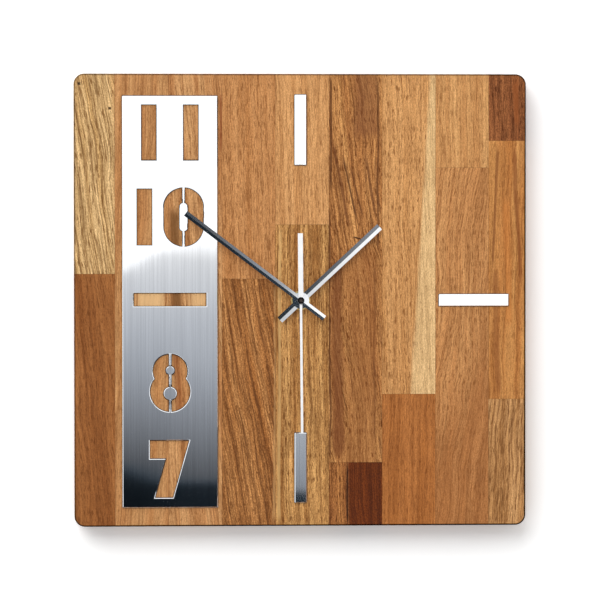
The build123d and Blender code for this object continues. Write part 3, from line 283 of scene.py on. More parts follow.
class Oak:
    """Oiled oak, built up layer by layer for one stave."""

    def __init__(self, node, stave):
        self.node = node
        self.stave = stave
        self.look = look = Look("oak_" + node)
        self.x, self.y, self.z = x, y, z = look.place()
        field = look.vector(
            look.times(x, 0.03), look.add(look.times(y, 0.03), stave.seed), look.times(z, 0.016)
        )
        self.warp = look.times(look.add(look.noise(field), -0.5), stave.warp)
        lean = math.tan(math.radians(stave.slope))
        self.across = look.add(look.add(x, look.times(z, lean)), self.warp)
        self.streak = look.noise(self.stretched(0.75, 0.017, 7.7), 1.0, 4.0, 0.62)
        self.fibre = look.noise(self.stretched(1.9, 0.10, 11.3), 1.0, 3.0, 0.7)
        self.tone = self.redder_tone()
        self.pores = self.pore_mask()
        self.pore_colour = tuple(c * tone for c, tone in zip(stave.dark, PORE_TONE))

    def stretched(self, per_x, per_z, offset):
        """Place for a noise: so many cells per millimetre across the grain and along it."""
        look = self.look
        depth = look.add(look.times(self.y, per_x), self.stave.seed + offset)
        return look.vector(look.times(self.across, per_x), depth, look.times(self.z, per_z))

    def redder_tone(self):
        """Multiplier for the base colours, which reddens as it darkens."""
        look, stave = self.look, self.stave
        grit = look.noise(self.stretched(1.9, 0.80, 13.9), 1.0, 2.0, 0.6)
        patch = look.noise(self.stretched(0.11, 0.055, 5.3), 1.0, 3.0, 0.6)
        rings, crisp = stave.streaks, stave.crisp
        tone = look.step(self.streak, 0.34, 0.64, 1 - 0.36 * rings, 1 + 0.24 * rings)
        fibres = look.step(self.fibre, 0.30, 0.70, 1 - 0.14 * crisp, 1 + 0.12 * crisp)
        grains = look.step(grit, 0.30, 0.70, 1 - 0.19 * crisp, 1 + 0.17 * crisp)
        tone = look.times(look.times(tone, fibres), grains)
        tone = look.times(tone, look.step(patch, 0.3, 0.7, 0.93, 1.06))
        return look.vector(tone, look.math("POWER", tone, 1.15), look.math("POWER", tone, 1.35))

    def pore_mask(self):
        """Short dashes, crowded into the early wood of each ring."""
        look, size = self.look, self.stave.pore_size
        dashes = look.noise(self.stretched(0.9 / size, 0.085 / size, 17.9), 1.0, 1.0, 0.4)
        crowding = look.step(self.streak, 0.35, 0.62, 0.06, -0.02)
        return look.step(look.add(dashes, crowding), PORE_LIMIT, PORE_LIMIT + 0.045)

    def wood(self):
        look, stave = self.look, self.stave
        band = look.noise(self.stretched(0.16, 0.005, 3.1), 1.0, 3.0, 0.55)
        colour = look.mix(look.step(band, 0.3, 0.7), stave.dark, stave.light)
        colour = look.mix(1.0, colour, self.tone, "MULTIPLY")
        return self.with_pores(colour, 1.25)

    def with_pores(self, colour, strength):
        share = self.look.times(self.pores, strength * self.stave.pores)
        return self.look.mix(share, colour, self.pore_colour)

    def with_rays(self, colour):
        look, stave = self.look, self.stave
        ray = look.noise(self.stretched(1.5, 0.07, 23.0))
        pale = tuple(min(1.0, channel * 1.35) for channel in stave.light)
        return look.mix(look.step(ray, 0.56, 0.70, 0.0, stave.rays), colour, pale)

    def with_rings(self, colour):
        look, rings = self.look, self.stave.rings
        drift = look.noise(self.stretched(0.10, 0.011, 29.0))
        place = look.add(look.times(self.across, 1 / rings.pitch), look.times(drift, 2.6))
        near = look.absolute(look.add(look.math("FRACT", place), -0.5))
        gaps = look.noise(self.stretched(0.5, 0.035, 31.0))
        broken = look.step(gaps, 0.38, 0.62, 0.25, 1.0)
        line = look.times(look.step(near, 0.0, rings.width, rings.share, 0.0), broken)
        return look.mix(line, colour, rings.colour)

    def off_line(self, x_top, x_bottom, top, bottom, warp_share):
        """Millimetres to the right of a leaning line that follows the grain's warp."""
        look = self.look
        lean = (x_top - x_bottom) / (top - bottom)
        line = look.add(look.times(look.add(self.z, -bottom), lean), x_bottom)
        return look.add(look.less(self.x, line), look.times(self.warp, warp_share))

    def with_mark(self, colour, mark):
        look = self.look
        (x_top, top), (x_bottom, bottom) = mark.top, mark.bottom
        off = look.absolute(self.off_line(x_top, x_bottom, top, bottom, 0.35))
        ragged = look.add(off, look.times(look.add(self.streak, -0.5), -1.6 * mark.width))
        body = look.step(ragged, mark.width * 0.35, mark.width, mark.share, 0.0)
        fade = min(MARK_FADE, (top - bottom) / 4)
        body = look.times(body, look.step(self.z, bottom, bottom + fade))
        body = look.times(body, look.step(self.z, top - fade, top, 1.0, 0.0))
        body = look.times(body, look.step(self.y, *MARK_DEPTH, 1.0, 0.0))
        return look.mix(body, colour, mark.colour)

    def with_tint(self, colour, tint):
        look = self.look
        low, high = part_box(self.node)
        top, bottom = (high.z - hub.z) / MM, (low.z - hub.z) / MM
        off = self.off_line(tint.x_top, tint.x_bottom, top, bottom, 0.3)
        ragged = look.add(off, look.times(look.add(self.streak, -0.5), 2.2 * tint.softness))
        toned = look.mix(1.0, tint.colour, self.tone, "MULTIPLY")
        side = look.step(ragged, -tint.softness, tint.softness, 0.0, tint.share)
        return self.with_pores(look.mix(side, colour, toned), 0.5)

    def with_end_grain(self, colour):
        """The board's top and bottom are darker than its sides."""
        look = self.look
        ends = look.step(look.absolute(self.z), BOARD_HALF - 0.5, BOARD_HALF - 0.1)
        place = look.vector(look.times(self.x, 0.9), self.stave.seed, look.times(self.y, 0.22))
        rings = look.step(look.noise(place, 1.0, 3.0), 0.35, 0.65)
        grain = look.mix(rings, END_GRAIN_DARK, END_GRAIN_LIGHT)
        return look.mix(ends, colour, grain, "MULTIPLY")

    def past_outline(self):
        """Millimetres past the board's rounded outline, negative inside it."""
        look, half = self.look, BOARD_HALF - CORNER_R
        past_x = look.most(look.add(look.absolute(self.x), -half), 0.0)
        past_z = look.most(look.add(look.absolute(self.z), -half), 0.0)
        return look.add(look.distance(past_x, past_z), -CORNER_R)

    def painted_rim_shade(self):
        """Painted shade on the roundings of the front and back edges, lighter at the top left,
        where the light falls.
        """
        look = self.look
        shaded_side = look.step(look.less(self.x, self.z), -60.0, 60.0, 0.6, 1.0)
        front_edge = look.step(self.y, FACE + 0.7, FACE + 1.8, 1.0, 0.0)
        back_edge = look.step(self.y, -1.6, -0.5, 0.0, 0.55)
        near_edge = look.most(look.times(front_edge, shaded_side), back_edge)
        return look.times(look.step(self.past_outline(), -RIM_WIDTH, -0.6), near_edge)

    def seam(self):
        """The glue line, on the sides and ends of the stave that meet another stave."""
        look = self.look
        low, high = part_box(self.node)
        nearest = 1.0
        for side, outline, centre, place in (
            (low.x, board_low.x, hub.x, self.x),
            (high.x, board_high.x, hub.x, self.x),
            (low.z, board_low.z, hub.z, self.z),
            (high.z, board_high.z, hub.z, self.z),
        ):
            if abs(side - outline) > MM:
                nearest = look.least(nearest, look.absolute(look.add(place, -(side - centre) / MM)))
        return look.step(nearest, 0.0, SEAM_WIDTH, SEAM_SHARE, 0.0)

    def finish(self):
        look, stave = self.look, self.stave
        colour = self.wood()
        if stave.rays:
            colour = self.with_rays(colour)
        if stave.rings:
            colour = self.with_rings(colour)
        for mark in stave.marks:
            colour = self.with_mark(colour, mark)
        for tint in stave.tints:
            colour = self.with_tint(colour, tint)
        colour = self.with_end_grain(colour)
        painted_rim_shade = self.painted_rim_shade()
        colour = look.mix(1.0, colour, OIL, "MULTIPLY")
        # Painted shade on the rounded rim, and the real dark glue lines between staves
        colour = look.mix(look.most(painted_rim_shade, self.seam()), colour, RIM_SHADE_AND_GLUE)

        height = look.less(look.times(self.fibre, 0.35), self.pores)
        look.bump(height, 0.00006, 0.8)
        rough = look.add(look.step(self.streak, 0.3, 0.7, 0.60, 0.52), look.times(self.pores, 0.2))
        specular = look.step(painted_rim_shade, 0.0, 1.0, RIM_SPECULAR, 0.0)
        return look.finish(base_color=colour, roughness=rough, specular_ior_level=specular)


STAVES = {
    "stave_a_upper": Stave(
        seed=1.0, dark=srgb(186, 146, 96), light=srgb(220, 184, 136),
        slope=8.0, warp=9.0, streaks=1.1, pores=0.6, crisp=1.5, pore_size=0.6, rays=0.5,
        rings=Rings(3.4, 0.19, 0.75, srgb(112, 76, 36)),
        tints=[Tint(-125.0, -122.0, 1.4, 0.45, srgb(192, 142, 92))],
        marks=[
            Mark((-146.5, 144.6), (-146.3, 142.2), 1.5, 0.95, srgb(44, 26, 12)),
            Mark((-126.6, 128.2), (-126.4, 126.0), 1.3, 0.95, srgb(60, 34, 14)),
        ],
    ),
    "stave_a_lower": Stave(
        seed=2.0, dark=srgb(138, 82, 38), light=srgb(166, 108, 60),
        slope=5.0, warp=10.0, streaks=0.45, pores=0.4,
        rings=Rings(11.0, 0.16, 0.28, srgb(112, 62, 26)),
    ),
    "stave_b_whole": Stave(
        seed=3.0, dark=srgb(182, 126, 78), light=srgb(200, 150, 102),
        slope=-3.0, warp=6.0, streaks=0.5, pores=0.34, crisp=0.9,
        rings=Rings(4.2, 0.2, 0.2, srgb(150, 98, 54)),
        marks=[Mark((-99.0, 22.0), (-99.0, -22.0), 13.0, 0.66, srgb(236, 198, 150))],
    ),
    "stave_c_whole": Stave(
        seed=4.0, dark=srgb(180, 122, 74), light=srgb(206, 156, 108),
        slope=4.0, warp=7.0, streaks=0.6, pores=0.42,
        marks=[
            Mark((-68.0, 22.0), (-68.0, -22.0), 10.0, 0.6, srgb(234, 194, 146)),
            Mark((-84.0, 64.0), (-81.5, -26.0), 4.6, 0.84, srgb(112, 72, 34)),
            Mark((-84.0, -20.0), (-80.0, -84.0), 3.4, 0.62, srgb(140, 80, 42)),
            Mark((-52.5, 140.0), (-53.0, 96.0), 1.8, 0.62, srgb(132, 62, 30)),
        ],
    ),
    "stave_d_upper": Stave(
        seed=5.0, dark=srgb(182, 124, 74), light=srgb(200, 144, 94),
        slope=1.0, warp=4.0, streaks=0.35, pores=0.5, crisp=1.1, pore_size=0.38,
    ),
    "stave_d_lower": Stave(
        seed=6.0, dark=srgb(150, 94, 46), light=srgb(186, 130, 78),
        slope=10.0, warp=8.0, streaks=0.95, pores=0.55, crisp=2.2,
        rings=Rings(3.4, 0.2, 0.78, srgb(96, 54, 24)),
        marks=[Mark((-16.5, 14.0), (-17.5, -150.0), 1.7, 0.45, srgb(206, 160, 108))],
    ),
    "stave_e_upper": Stave(
        seed=7.0, dark=srgb(196, 140, 88), light=srgb(214, 160, 108),
        slope=1.5, warp=4.0, streaks=0.35, pores=0.42, pore_size=0.38,
    ),
    "stave_e_lower": Stave(
        seed=8.0, dark=srgb(162, 110, 58), light=srgb(208, 158, 100),
        slope=0.5, warp=5.0, streaks=0.85, pores=0.7, crisp=1.6, rays=0.4,
        rings=Rings(4.2, 0.17, 0.45, srgb(104, 62, 26)),
        marks=[
            Mark((-13.6, 50.0), (-14.6, -150.0), 1.5, 0.55, srgb(226, 184, 126)),
            Mark((19.2, 64.0), (19.8, 14.0), 0.8, 0.7, srgb(84, 48, 20)),
        ],
    ),
    "stave_f_upper": Stave(
        seed=9.0, dark=srgb(170, 112, 62), light=srgb(200, 144, 88),
        slope=6.0, warp=12.0, streaks=0.85, pores=0.85, crisp=1.7,
        rings=Rings(5.4, 0.12, 0.6, srgb(82, 40, 16)),
        marks=[
            Mark((44.0, 156.0), (43.0, 104.0), 11.0, 0.55, srgb(118, 70, 42)),
            Mark((20.0, 152.0), (20.5, 70.0), 1.1, 0.82, srgb(84, 46, 20)),
            Mark((21.5, 106.0), (33.0, 46.0), 1.5, 0.7, srgb(96, 50, 22)),
            Mark((28.0, 98.0), (38.5, 50.0), 0.9, 0.8, srgb(70, 34, 14)),
            Mark((33.0, 92.0), (43.0, 52.0), 0.8, 0.7, srgb(84, 42, 18)),
            Mark((44.0, 98.0), (51.0, 52.0), 1.0, 0.66, srgb(84, 42, 20)),
            Mark((35.5, 42.4), (41.0, 40.0), 2.0, 0.9, srgb(52, 16, 6)),
            Mark((24.5, 30.0), (25.0, -108.0), 5.2, 0.72, srgb(112, 60, 28)),
            Mark((19.6, 64.0), (19.4, -108.0), 0.9, 0.8, srgb(84, 44, 18)),
            Mark((51.5, 150.0), (52.0, 30.0), 0.9, 0.7, srgb(84, 44, 20)),
            Mark((49.0, 26.0), (49.5, -96.0), 1.1, 0.55, srgb(100, 56, 26)),
            Mark((41.0, 40.0), (41.0, -118.0), 15.0, 0.42, srgb(140, 84, 42)),
        ],
    ),
    "stave_f_lower": Stave(
        seed=10.0, dark=srgb(140, 84, 42), light=srgb(174, 116, 64),
        slope=4.0, warp=8.0, streaks=1.0, pores=0.7, crisp=2.1,
        tints=[Tint(31.5, 32.5, 0.8, 0.96, srgb(100, 42, 3))],
        marks=[Mark((30.4, -106.0), (31.4, -152.0), 0.8, 0.92, srgb(30, 10, 4))],
    ),
    "stave_g_upper": Stave(
        seed=11.0, dark=srgb(194, 138, 84), light=srgb(214, 160, 106),
        slope=2.0, warp=5.0, streaks=0.4, pores=0.55, crisp=1.1,
        tints=[Tint(86.5, 73.5, 1.6, 0.86, srgb(226, 190, 142))],
        marks=[
            Mark((88.0, 142.0), (76.5, 20.0), 0.8, 0.6, srgb(158, 106, 54)),
            Mark((77.0, 20.0), (73.5, -62.0), 0.7, 0.5, srgb(166, 114, 64)),
        ],
    ),
    "stave_g_lower": Stave(
        seed=12.0, dark=srgb(162, 98, 46), light=srgb(182, 116, 62),
        slope=-2.0, warp=5.0, streaks=0.4, pores=0.42,
    ),
    "stave_h_upper": Stave(
        seed=13.0, dark=srgb(192, 136, 84), light=srgb(212, 160, 106),
        slope=2.0, warp=6.0, streaks=0.45, pores=0.42,
        marks=[Mark((95.0, 112.0), (97.0, 89.0), 1.2, 0.42, srgb(150, 98, 54))],
    ),
    "stave_h_lower": Stave(
        seed=14.0, dark=srgb(186, 128, 78), light=srgb(205, 149, 97),
        slope=-5.0, warp=14.0, streaks=0.5, pores=0.46,
        tints=[Tint(206.0, 46.0, 26.0, 0.66, srgb(154, 94, 48))],
    ),
    "stave_i_upper": Stave(
        seed=15.0, dark=srgb(122, 68, 34), light=srgb(150, 92, 52),
        slope=0.5, warp=5.0, streaks=0.9, pores=0.6, crisp=1.9, rays=0.25,
        marks=[Mark((143.0, 150.0), (144.0, 112.0), 2.6, 0.5, srgb(162, 90, 42))],
    ),
    "stave_i_middle": Stave(
        seed=16.0, dark=srgb(178, 114, 58), light=srgb(198, 140, 82),
        slope=-1.0, warp=8.0, streaks=0.5, pores=0.42,
        marks=[
            Mark((131.5, 104.0), (127.5, 20.0), 1.1, 0.66, srgb(116, 64, 28)),
            Mark((129.0, 24.0), (132.0, -66.0), 2.6, 0.5, srgb(128, 72, 34)),
            Mark((142.0, 104.0), (147.0, 10.0), 1.8, 0.66, srgb(126, 68, 30)),
            Mark((137.0, 70.0), (139.0, -20.0), 3.2, 0.36, srgb(212, 130, 62)),
        ],
    ),
    "stave_i_lower": Stave(
        seed=17.0, dark=srgb(166, 116, 68), light=srgb(198, 150, 102),
        slope=-2.0, warp=7.0, streaks=0.95, pores=0.6, crisp=1.2, pore_size=0.55, rays=0.6,
    ),
}


# ---- Metals -----------------------------------------------------------------------------------
PLATE_STEEL = srgb(238, 240, 243)
PLATE_ROUGHNESS = 0.045
PLATE_ANISOTROPY = 0.8      # blurs reflections across the brush lines
PLATE_SCRATCH = (1.3, 0.012)  # cells per millimetre across the lines and along them
SCRATCH_DEPTH = 3e-7        # in metres: the steel is close to a mirror
# Dark paint on the plate's cut walls: painted shade along the cut-outs' rims
CUT_WALL_SHADE = srgb(74, 58, 46)


def brushed_steel():
    """Steel with its brush lines along Z. The tangent lies across the lines."""
    look = Look("plate_steel")
    x, y, z = look.place()
    per_x, per_z = PLATE_SCRATCH
    depth = look.add(look.times(y, per_x), 1.0)
    scratched = look.vector(look.times(x, per_x), depth, look.times(z, per_z))
    fine = look.noise(scratched, 1.0, 3.0, 0.65)
    broad = look.noise(look.vector(look.times(x, 0.35), 1.0, look.times(z, 0.012)))
    wide = look.step(broad, 0.3, 0.7, 0.98, 1.02)
    colour = look.shade(PLATE_STEEL, look.times(look.step(fine, 0.3, 0.7, 0.93, 1.05), wide))
    look.bump(fine, SCRATCH_DEPTH)
    across = look.turn(look.vector(1.0, 0.0, 0.0), "VECTOR", "OBJECT", "WORLD")
    look.put(look.shader.inputs["Tangent"], across)
    rough = look.step(fine, 0.2, 0.8, PLATE_ROUGHNESS * 0.9, PLATE_ROUGHNESS * 1.12)

    # The cut walls under the polished bevels are painted dark: painted shade along the rims of the
    # cut-outs
    normal = look.node("ShaderNodeNewGeometry").outputs["True Normal"]
    facing = look.absolute(look.parts(look.turn(normal, "NORMAL", "WORLD", "OBJECT"))[1])
    metal = look.step(facing, 0.2, 0.4)
    colour = look.mix(metal, CUT_WALL_SHADE, colour)
    rough = look.add(rough, look.step(metal, 0.0, 1.0, 0.5, 0.0))
    return look.finish(
        base_color=colour, metallic=metal, roughness=rough, anisotropic=PLATE_ANISOTROPY
    )


def satin_metal(name, base, rough, grain, depth, metallic=1.0):
    """Metal with a fine even grain."""
    look = Look(name)
    spot = look.vector(*look.place())
    even = look.noise(spot, grain, 3.0, 0.6)
    patch = look.step(look.noise(spot, 0.16), 0.3, 0.7, 0.96, 1.02)
    colour = look.shade(base, look.times(look.step(even, 0.25, 0.75, 0.93, 1.04), patch))
    look.bump(even, depth)
    rough = look.step(even, 0.25, 0.75, rough * 0.85, rough * 1.2)
    return look.finish(base_color=colour, metallic=metallic, roughness=rough)


def turned_metal(name, node, base, rough):
    """Metal turned about the Y axis through a node's middle: fine rings."""
    look = Look(name)
    x, y, z = look.place()
    centre = middle(node)
    from_x = look.add(x, -(centre.x - hub.x) / MM)
    from_z = look.add(z, -(centre.z - hub.z) / MM)
    radius = look.distance(from_x, from_z)
    turned = look.vector(look.times(radius, 9.0), look.times(y, 9.0), 0.0)
    rings = look.noise(turned, 1.0, 3.0, 0.7)
    stain = look.step(look.noise(look.vector(x, y, z), 0.7, 3.0), 0.3, 0.7, 0.88, 1.04)
    colour = look.shade(base, look.times(look.step(rings, 0.25, 0.75, 0.86, 1.08), stain))
    look.bump(rings, 0.00002)
    rough = look.step(rings, 0.3, 0.7, rough, rough * 1.5)
    return look.finish(base_color=colour, metallic=1.0, roughness=rough)


def zinc_plate(name, base):
    """Zinc plating: small bright spangles with a faint yellow passivation."""
    look = Look(name)
    spot = look.vector(*look.place())
    spangle = look.cells(spot, 0.9).outputs["Color"]
    level = look.node("ShaderNodeSeparateColor", {0: spangle}).outputs[0]
    haze = look.step(look.noise(spot, 0.22, 3.0), 0.4, 0.7, 0.0, 0.35)
    hazed = look.mix(haze, base, srgb(196, 186, 140))
    colour = look.shade(hazed, look.step(level, 0.0, 1.0, 0.86, 1.08))
    look.bump(look.noise(spot, 3.0, 3.0), 0.00001)
    rough = look.step(level, 0.0, 1.0, 0.26, 0.44)
    return look.finish(base_color=colour, metallic=1.0, roughness=rough)


# ---- Plastics and the rest --------------------------------------------------------------------
def moulded(name, base, rough, grain=7.0, depth=0.00002):
    """Moulded plastic with a fine spark-eroded texture."""
    look = Look(name)
    spot = look.vector(*look.place())
    fine = look.noise(spot, grain, 3.0, 0.6)
    flow = look.step(look.noise(spot, 0.12), 0.3, 0.7, 0.94, 1.05)
    colour = look.shade(base, look.times(look.step(fine, 0.3, 0.7, 0.88, 1.1), flow))
    look.bump(fine, depth)
    rough = look.step(fine, 0.3, 0.7, rough * 0.9, rough * 1.12)
    return look.finish(base_color=colour, roughness=rough, specular_ior_level=0.45)


def cap_gloss():
    """Polished black cap, mottled brown-grey in its middle."""
    look = Look("cap_plastic")
    x, y, z = look.place()
    spot = look.vector(x, y, z)
    cap_mottle = look.noise(spot, 2.6, 3.0)
    middling = look.step(look.distance(x, z), 0.5, 1.35, 1.0, 0.0)
    centre = look.times(middling, look.step(cap_mottle, 0.3, 0.7, 0.7, 1.0))
    colour = look.mix(centre, srgb(6, 6, 6), srgb(60, 48, 40))
    look.bump(look.noise(spot, 9.0), 0.000004)
    rough = look.step(cap_mottle, 0.3, 0.7, 0.16, 0.26)
    specular = look.step(centre, 0.0, 1.0, 0.12, 0.3)
    return look.finish(base_color=colour, roughness=rough, specular_ior_level=specular)


CELL_BAND = 10.8            # dark band of the cell's sleeve, from the end with the nub
CELL_STEEL = (1.5, 0.8)     # bare steel at the nub's end and at the flat end


def cell_sleeve():
    """Plain grey sleeve of a cell, with a darker band near its nub and bare steel ends."""
    look = Look("cell_can")
    x, y, z = look.place()
    low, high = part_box("battery")
    left, right = (low.x - hub.x) / MM, (high.x - hub.x) / MM
    scuff = look.noise(look.vector(look.times(x, 0.4), y, z), 1.6, 3.0)
    sleeve = look.mix(look.step(scuff, 0.3, 0.7), srgb(150, 154, 158), srgb(172, 175, 178))
    band = look.step(x, left + CELL_BAND, left + CELL_BAND + 0.3, 1.0, 0.0)
    sleeve = look.mix(band, sleeve, srgb(62, 70, 78))
    nub_end = look.step(x, left + CELL_STEEL[0], left + CELL_STEEL[0] + 0.3, 1.0, 0.0)
    flat_end = look.step(x, right - CELL_STEEL[1], right - CELL_STEEL[1] + 0.3)
    ends = look.most(nub_end, flat_end)
    look.bump(scuff, 0.00001)
    return look.finish(
        base_color=look.mix(ends, sleeve, srgb(196, 197, 198)),
        metallic=look.step(ends, 0.0, 1.0, 0.35, 1.0),
        roughness=look.step(scuff, 0.3, 0.7, 0.26, 0.38),
    )


WIRE_PITCH = 0.28


def copper_coil():
    """Lacquered wire wound round the coil's axis, along Z."""
    look = Look("copper_wire")
    x, y, z = look.place()
    turns = look.math("FRACT", look.times(z, 1 / WIRE_PITCH))
    crown = look.math("SQRT", look.times(turns, look.less(1.0, turns)))
    stain = look.noise(look.vector(x, y, z), 0.9, 3.0)
    copper = look.mix(look.step(stain, 0.3, 0.7), srgb(176, 92, 48), srgb(206, 124, 74))
    # Painted shade in the grooves between the turns, lighter on their crowns
    colour = look.shade(copper, look.step(crown, 0.1, 0.5, 0.45, 1.1))
    look.bump(crown, 0.0001)
    rough = look.step(stain, 0.3, 0.7, 0.28, 0.4)
    return look.finish(base_color=colour, metallic=0.9, roughness=rough)


def circuit():
    """Green solder mask with a few copper tracks under it."""
    look = Look("pcb")
    x, y, z = look.place()
    board = look.vector(look.times(x, 0.6), 0.0, look.times(z, 0.3))
    tracks = look.cells(board, 1.0, "DISTANCE_TO_EDGE").outputs["Distance"]
    line = look.step(tracks, 0.03, 0.06, 1.0, 0.0)
    fine = look.noise(look.vector(x, y, z), 5.0)
    colour = look.mix(line, srgb(18, 74, 40), srgb(44, 116, 62))
    colour = look.mix(look.step(fine, 0.3, 0.7, 0.0, 0.2), colour, srgb(10, 46, 26))
    look.bump(line, 0.00002)
    return look.finish(base_color=colour, roughness=look.step(fine, 0.3, 0.7, 0.3, 0.42))


# Colour, roughness, cells of grain per millimetre, its depth in metres, and 0 for paint on metal
SATIN_METALS = {
    "hand_steel": (srgb(232, 234, 236), 0.06, 3.0, SCRATCH_DEPTH),
    "second_metal": (srgb(248, 248, 248), 0.5, 6.0, 0.000002, 0.0),
    "magnet": (srgb(92, 92, 94), 0.5, 3.0, 0.00002),
    "stator_steel": (srgb(168, 170, 174), 0.34, 4.0, 0.000008),
    "crystal_can": (srgb(222, 222, 222), 0.22, 4.0, 0.000004),
    "contact_metal": (srgb(210, 206, 192), 0.28, 5.0, 0.000006),
}
# Colour, roughness, cells of grain per millimetre and its depth in metres
MOULDINGS = {
    "gasket_rubber": (srgb(40, 40, 40), 0.8, 3.0, 0.00005),
    "case_plastic": (srgb(44, 44, 46), 0.52),
    "inner_plastic": (srgb(92, 92, 95), 0.5),
    "gear_plastic": (srgb(232, 228, 216), 0.42),
    "knob_plastic": (srgb(214, 210, 200), 0.46),
    "chip_resin": (srgb(24, 24, 25), 0.22, 2.0, 0.00002),
    # The adhesive is a real part; its dark brown also stands as painted shade, a dark line along
    # the plate's edges and cut-outs
    "adhesive": (srgb(40, 26, 18), 0.7, 2.0, 0.00003),
}


def slot_looks():
    """A look for each material slot of the record but the oak ones."""
    looks = {
        "plate_steel": brushed_steel(),
        "arbor_steel": turned_metal("arbor_steel", "second_arbor", srgb(198, 200, 203), 0.2),
        "nut_brass": turned_metal("nut_brass", "fixing_nut", srgb(214, 190, 128), 0.26),
        "hanger_zinc": zinc_plate("hanger_zinc", srgb(196, 200, 204)),
        "screw_zinc": zinc_plate("screw_zinc", srgb(206, 204, 194)),
        "cap_plastic": cap_gloss(),
        "cell_can": cell_sleeve(),
        "copper_wire": copper_coil(),
        "pcb": circuit(),
    }
    for name, values in SATIN_METALS.items():
        looks[name] = satin_metal(name, *values)
    for name, values in MOULDINGS.items():
        looks[name] = moulded(name, *values)
    return looks


def dress():
    """Gives each node the look of its slot, and each stave its own."""
    looks = slot_looks()
    for row in frame["record"]["subparts"]:
        node = row["node"]
        if node in STAVES:
            wear(node, Oak(node, STAVES[node]).finish())
        else:
            wear(node, looks[row["material_slot"]])


dress()


# ---- Studio -----------------------------------------------------------------------------------
DIAL = Vector((0.0, face_y, hub.z))     # where the hands' axis meets the board
CAMERA_DISTANCE = 2.0
CAMERA_LEFT = 2.45          # degrees to the left of the dial's axis
CAMERA_UP = 1.4             # degrees above it
CAMERA_ROLL = 0.027
CAMERA_AIM = Vector((-0.00036, 0.0, 0.0002))    # off the dial's middle
CAMERA_RANGE = (0.05, 50.0)
LENS = 180.85
SENSOR = 36.0
WORLD_LEVEL = 0.59
LIGHTS = {                  # place from the dial's middle, side in metres and power in watts
    "key": (Vector((-1.0, -1.98, 1.85)), 2.6, 65.0),
    "back_fill": (Vector((-0.9, 2.22, 1.1)), 1.6, 34.0),
}
ROOM_HALF = 3.0
WALL_GAP = 0.0005
WALL_LEVEL = 1.28           # over-exposed, as the backdrop of a studio photograph is
FLOOR_DROP = 0.9
FLOOR_LEVEL = 0.86
CARD_DISTANCE = 2.3         # of the reflection card, in front of the dial
CARD_REACH = 1.3
SIDE_DISTANCE = 1.6         # of the side cards, from the hands' axis
SIDE_REACH = 1.7
SIDE_DEPTH = (face_y - 1.1, 0.5)
SIDE_LEVELS = (1.25, 1.4)
WINDOW_LEVEL = 1.4


def aim(thing, target):
    direction = Vector(target) - thing.location
    thing.rotation_euler = direction.to_track_quat("-Z", "Y").to_euler()


def camera():
    data = bpy.data.cameras.new("camera")
    data.lens = LENS
    data.sensor_width = SENSOR
    data.clip_start, data.clip_end = CAMERA_RANGE
    made = bpy.data.objects.new("camera", data)
    bpy.context.scene.collection.objects.link(made)
    left, up = math.radians(CAMERA_LEFT), math.radians(CAMERA_UP)
    away = Vector((-math.sin(left) * math.cos(up), -math.cos(left) * math.cos(up), math.sin(up)))
    made.location = DIAL + CAMERA_DISTANCE * away
    aim(made, DIAL + CAMERA_AIM)
    made.rotation_euler.rotate_axis("Z", math.radians(-CAMERA_ROLL))
    bpy.context.scene.camera = made


def area_light(name, place, side, power):
    """Square light aimed at the dial. The steel mirrors the cards in its place."""
    data = bpy.data.lights.new(name, "AREA")
    data.shape = "RECTANGLE"
    data.size = data.size_y = side
    data.energy = power
    made = bpy.data.objects.new(name, data)
    bpy.context.scene.collection.objects.link(made)
    made.location = DIAL + place
    aim(made, DIAL)
    made.visible_glossy = False


def sheet_mesh(name, corners, material):
    mesh = bpy.data.meshes.new(name)
    mesh.from_pydata(corners, [], [(0, 1, 2, 3)])
    mesh.materials.append(material)
    made = bpy.data.objects.new(name, mesh)
    bpy.context.scene.collection.objects.link(made)
    return made


def pale_paint(name, level, one_sided):
    """Plain pale paint. A one-sided wall is clear from behind, so that such views show the back."""
    look = Look(name)
    mottle = look.noise(look.object_place(), 3.0)
    tone = look.step(mottle, 0.3, 0.7, level * 0.995, level)
    paint = look.node("ShaderNodeBsdfDiffuse", {"Color": look.vector(tone, tone, tone)}).outputs[0]
    if one_sided:
        back = look.node("ShaderNodeNewGeometry").outputs["Backfacing"]
        clear = look.node("ShaderNodeBsdfTransparent").outputs[0]
        paint = look.node("ShaderNodeMixShader", {0: back, 1: paint, 2: clear}).outputs[0]
    return look.surface(paint)


def wall_and_floor():
    half = ROOM_HALF
    left, right, top, bottom = -half, half, hub.z + half, hub.z - half
    corners = [(left, bottom), (right, bottom), (right, top), (left, top)]
    paint = pale_paint("wall_paint", WALL_LEVEL, True)
    wall = sheet_mesh("wall", [(x, WALL_GAP, z) for x, z in corners], paint)
    wall.visible_diffuse = False
    wall.visible_glossy = False
    wall.visible_shadow = False
    wall.visible_transmission = False

    low = hub.z - FLOOR_DROP
    corners = [(left, -half), (right, -half), (right, half), (left, half)]
    paint = pale_paint("floor_paint", FLOOR_LEVEL, False)
    sheet_mesh("floor", [(x, y, low) for x, y in corners], paint).visible_diffuse = False


def paint_over(look, level, mask, value):
    """Covers a level with another where the mask is 1."""
    return look.add(look.times(level, look.less(1.0, mask)), look.times(mask, value))


def above_line(look, z, line, blur, low=0.0):
    """1 over a line and low under it, blurred by so many metres to each side."""
    return look.step(look.less(z, line), look.times(blur, -1.0), blur, low)


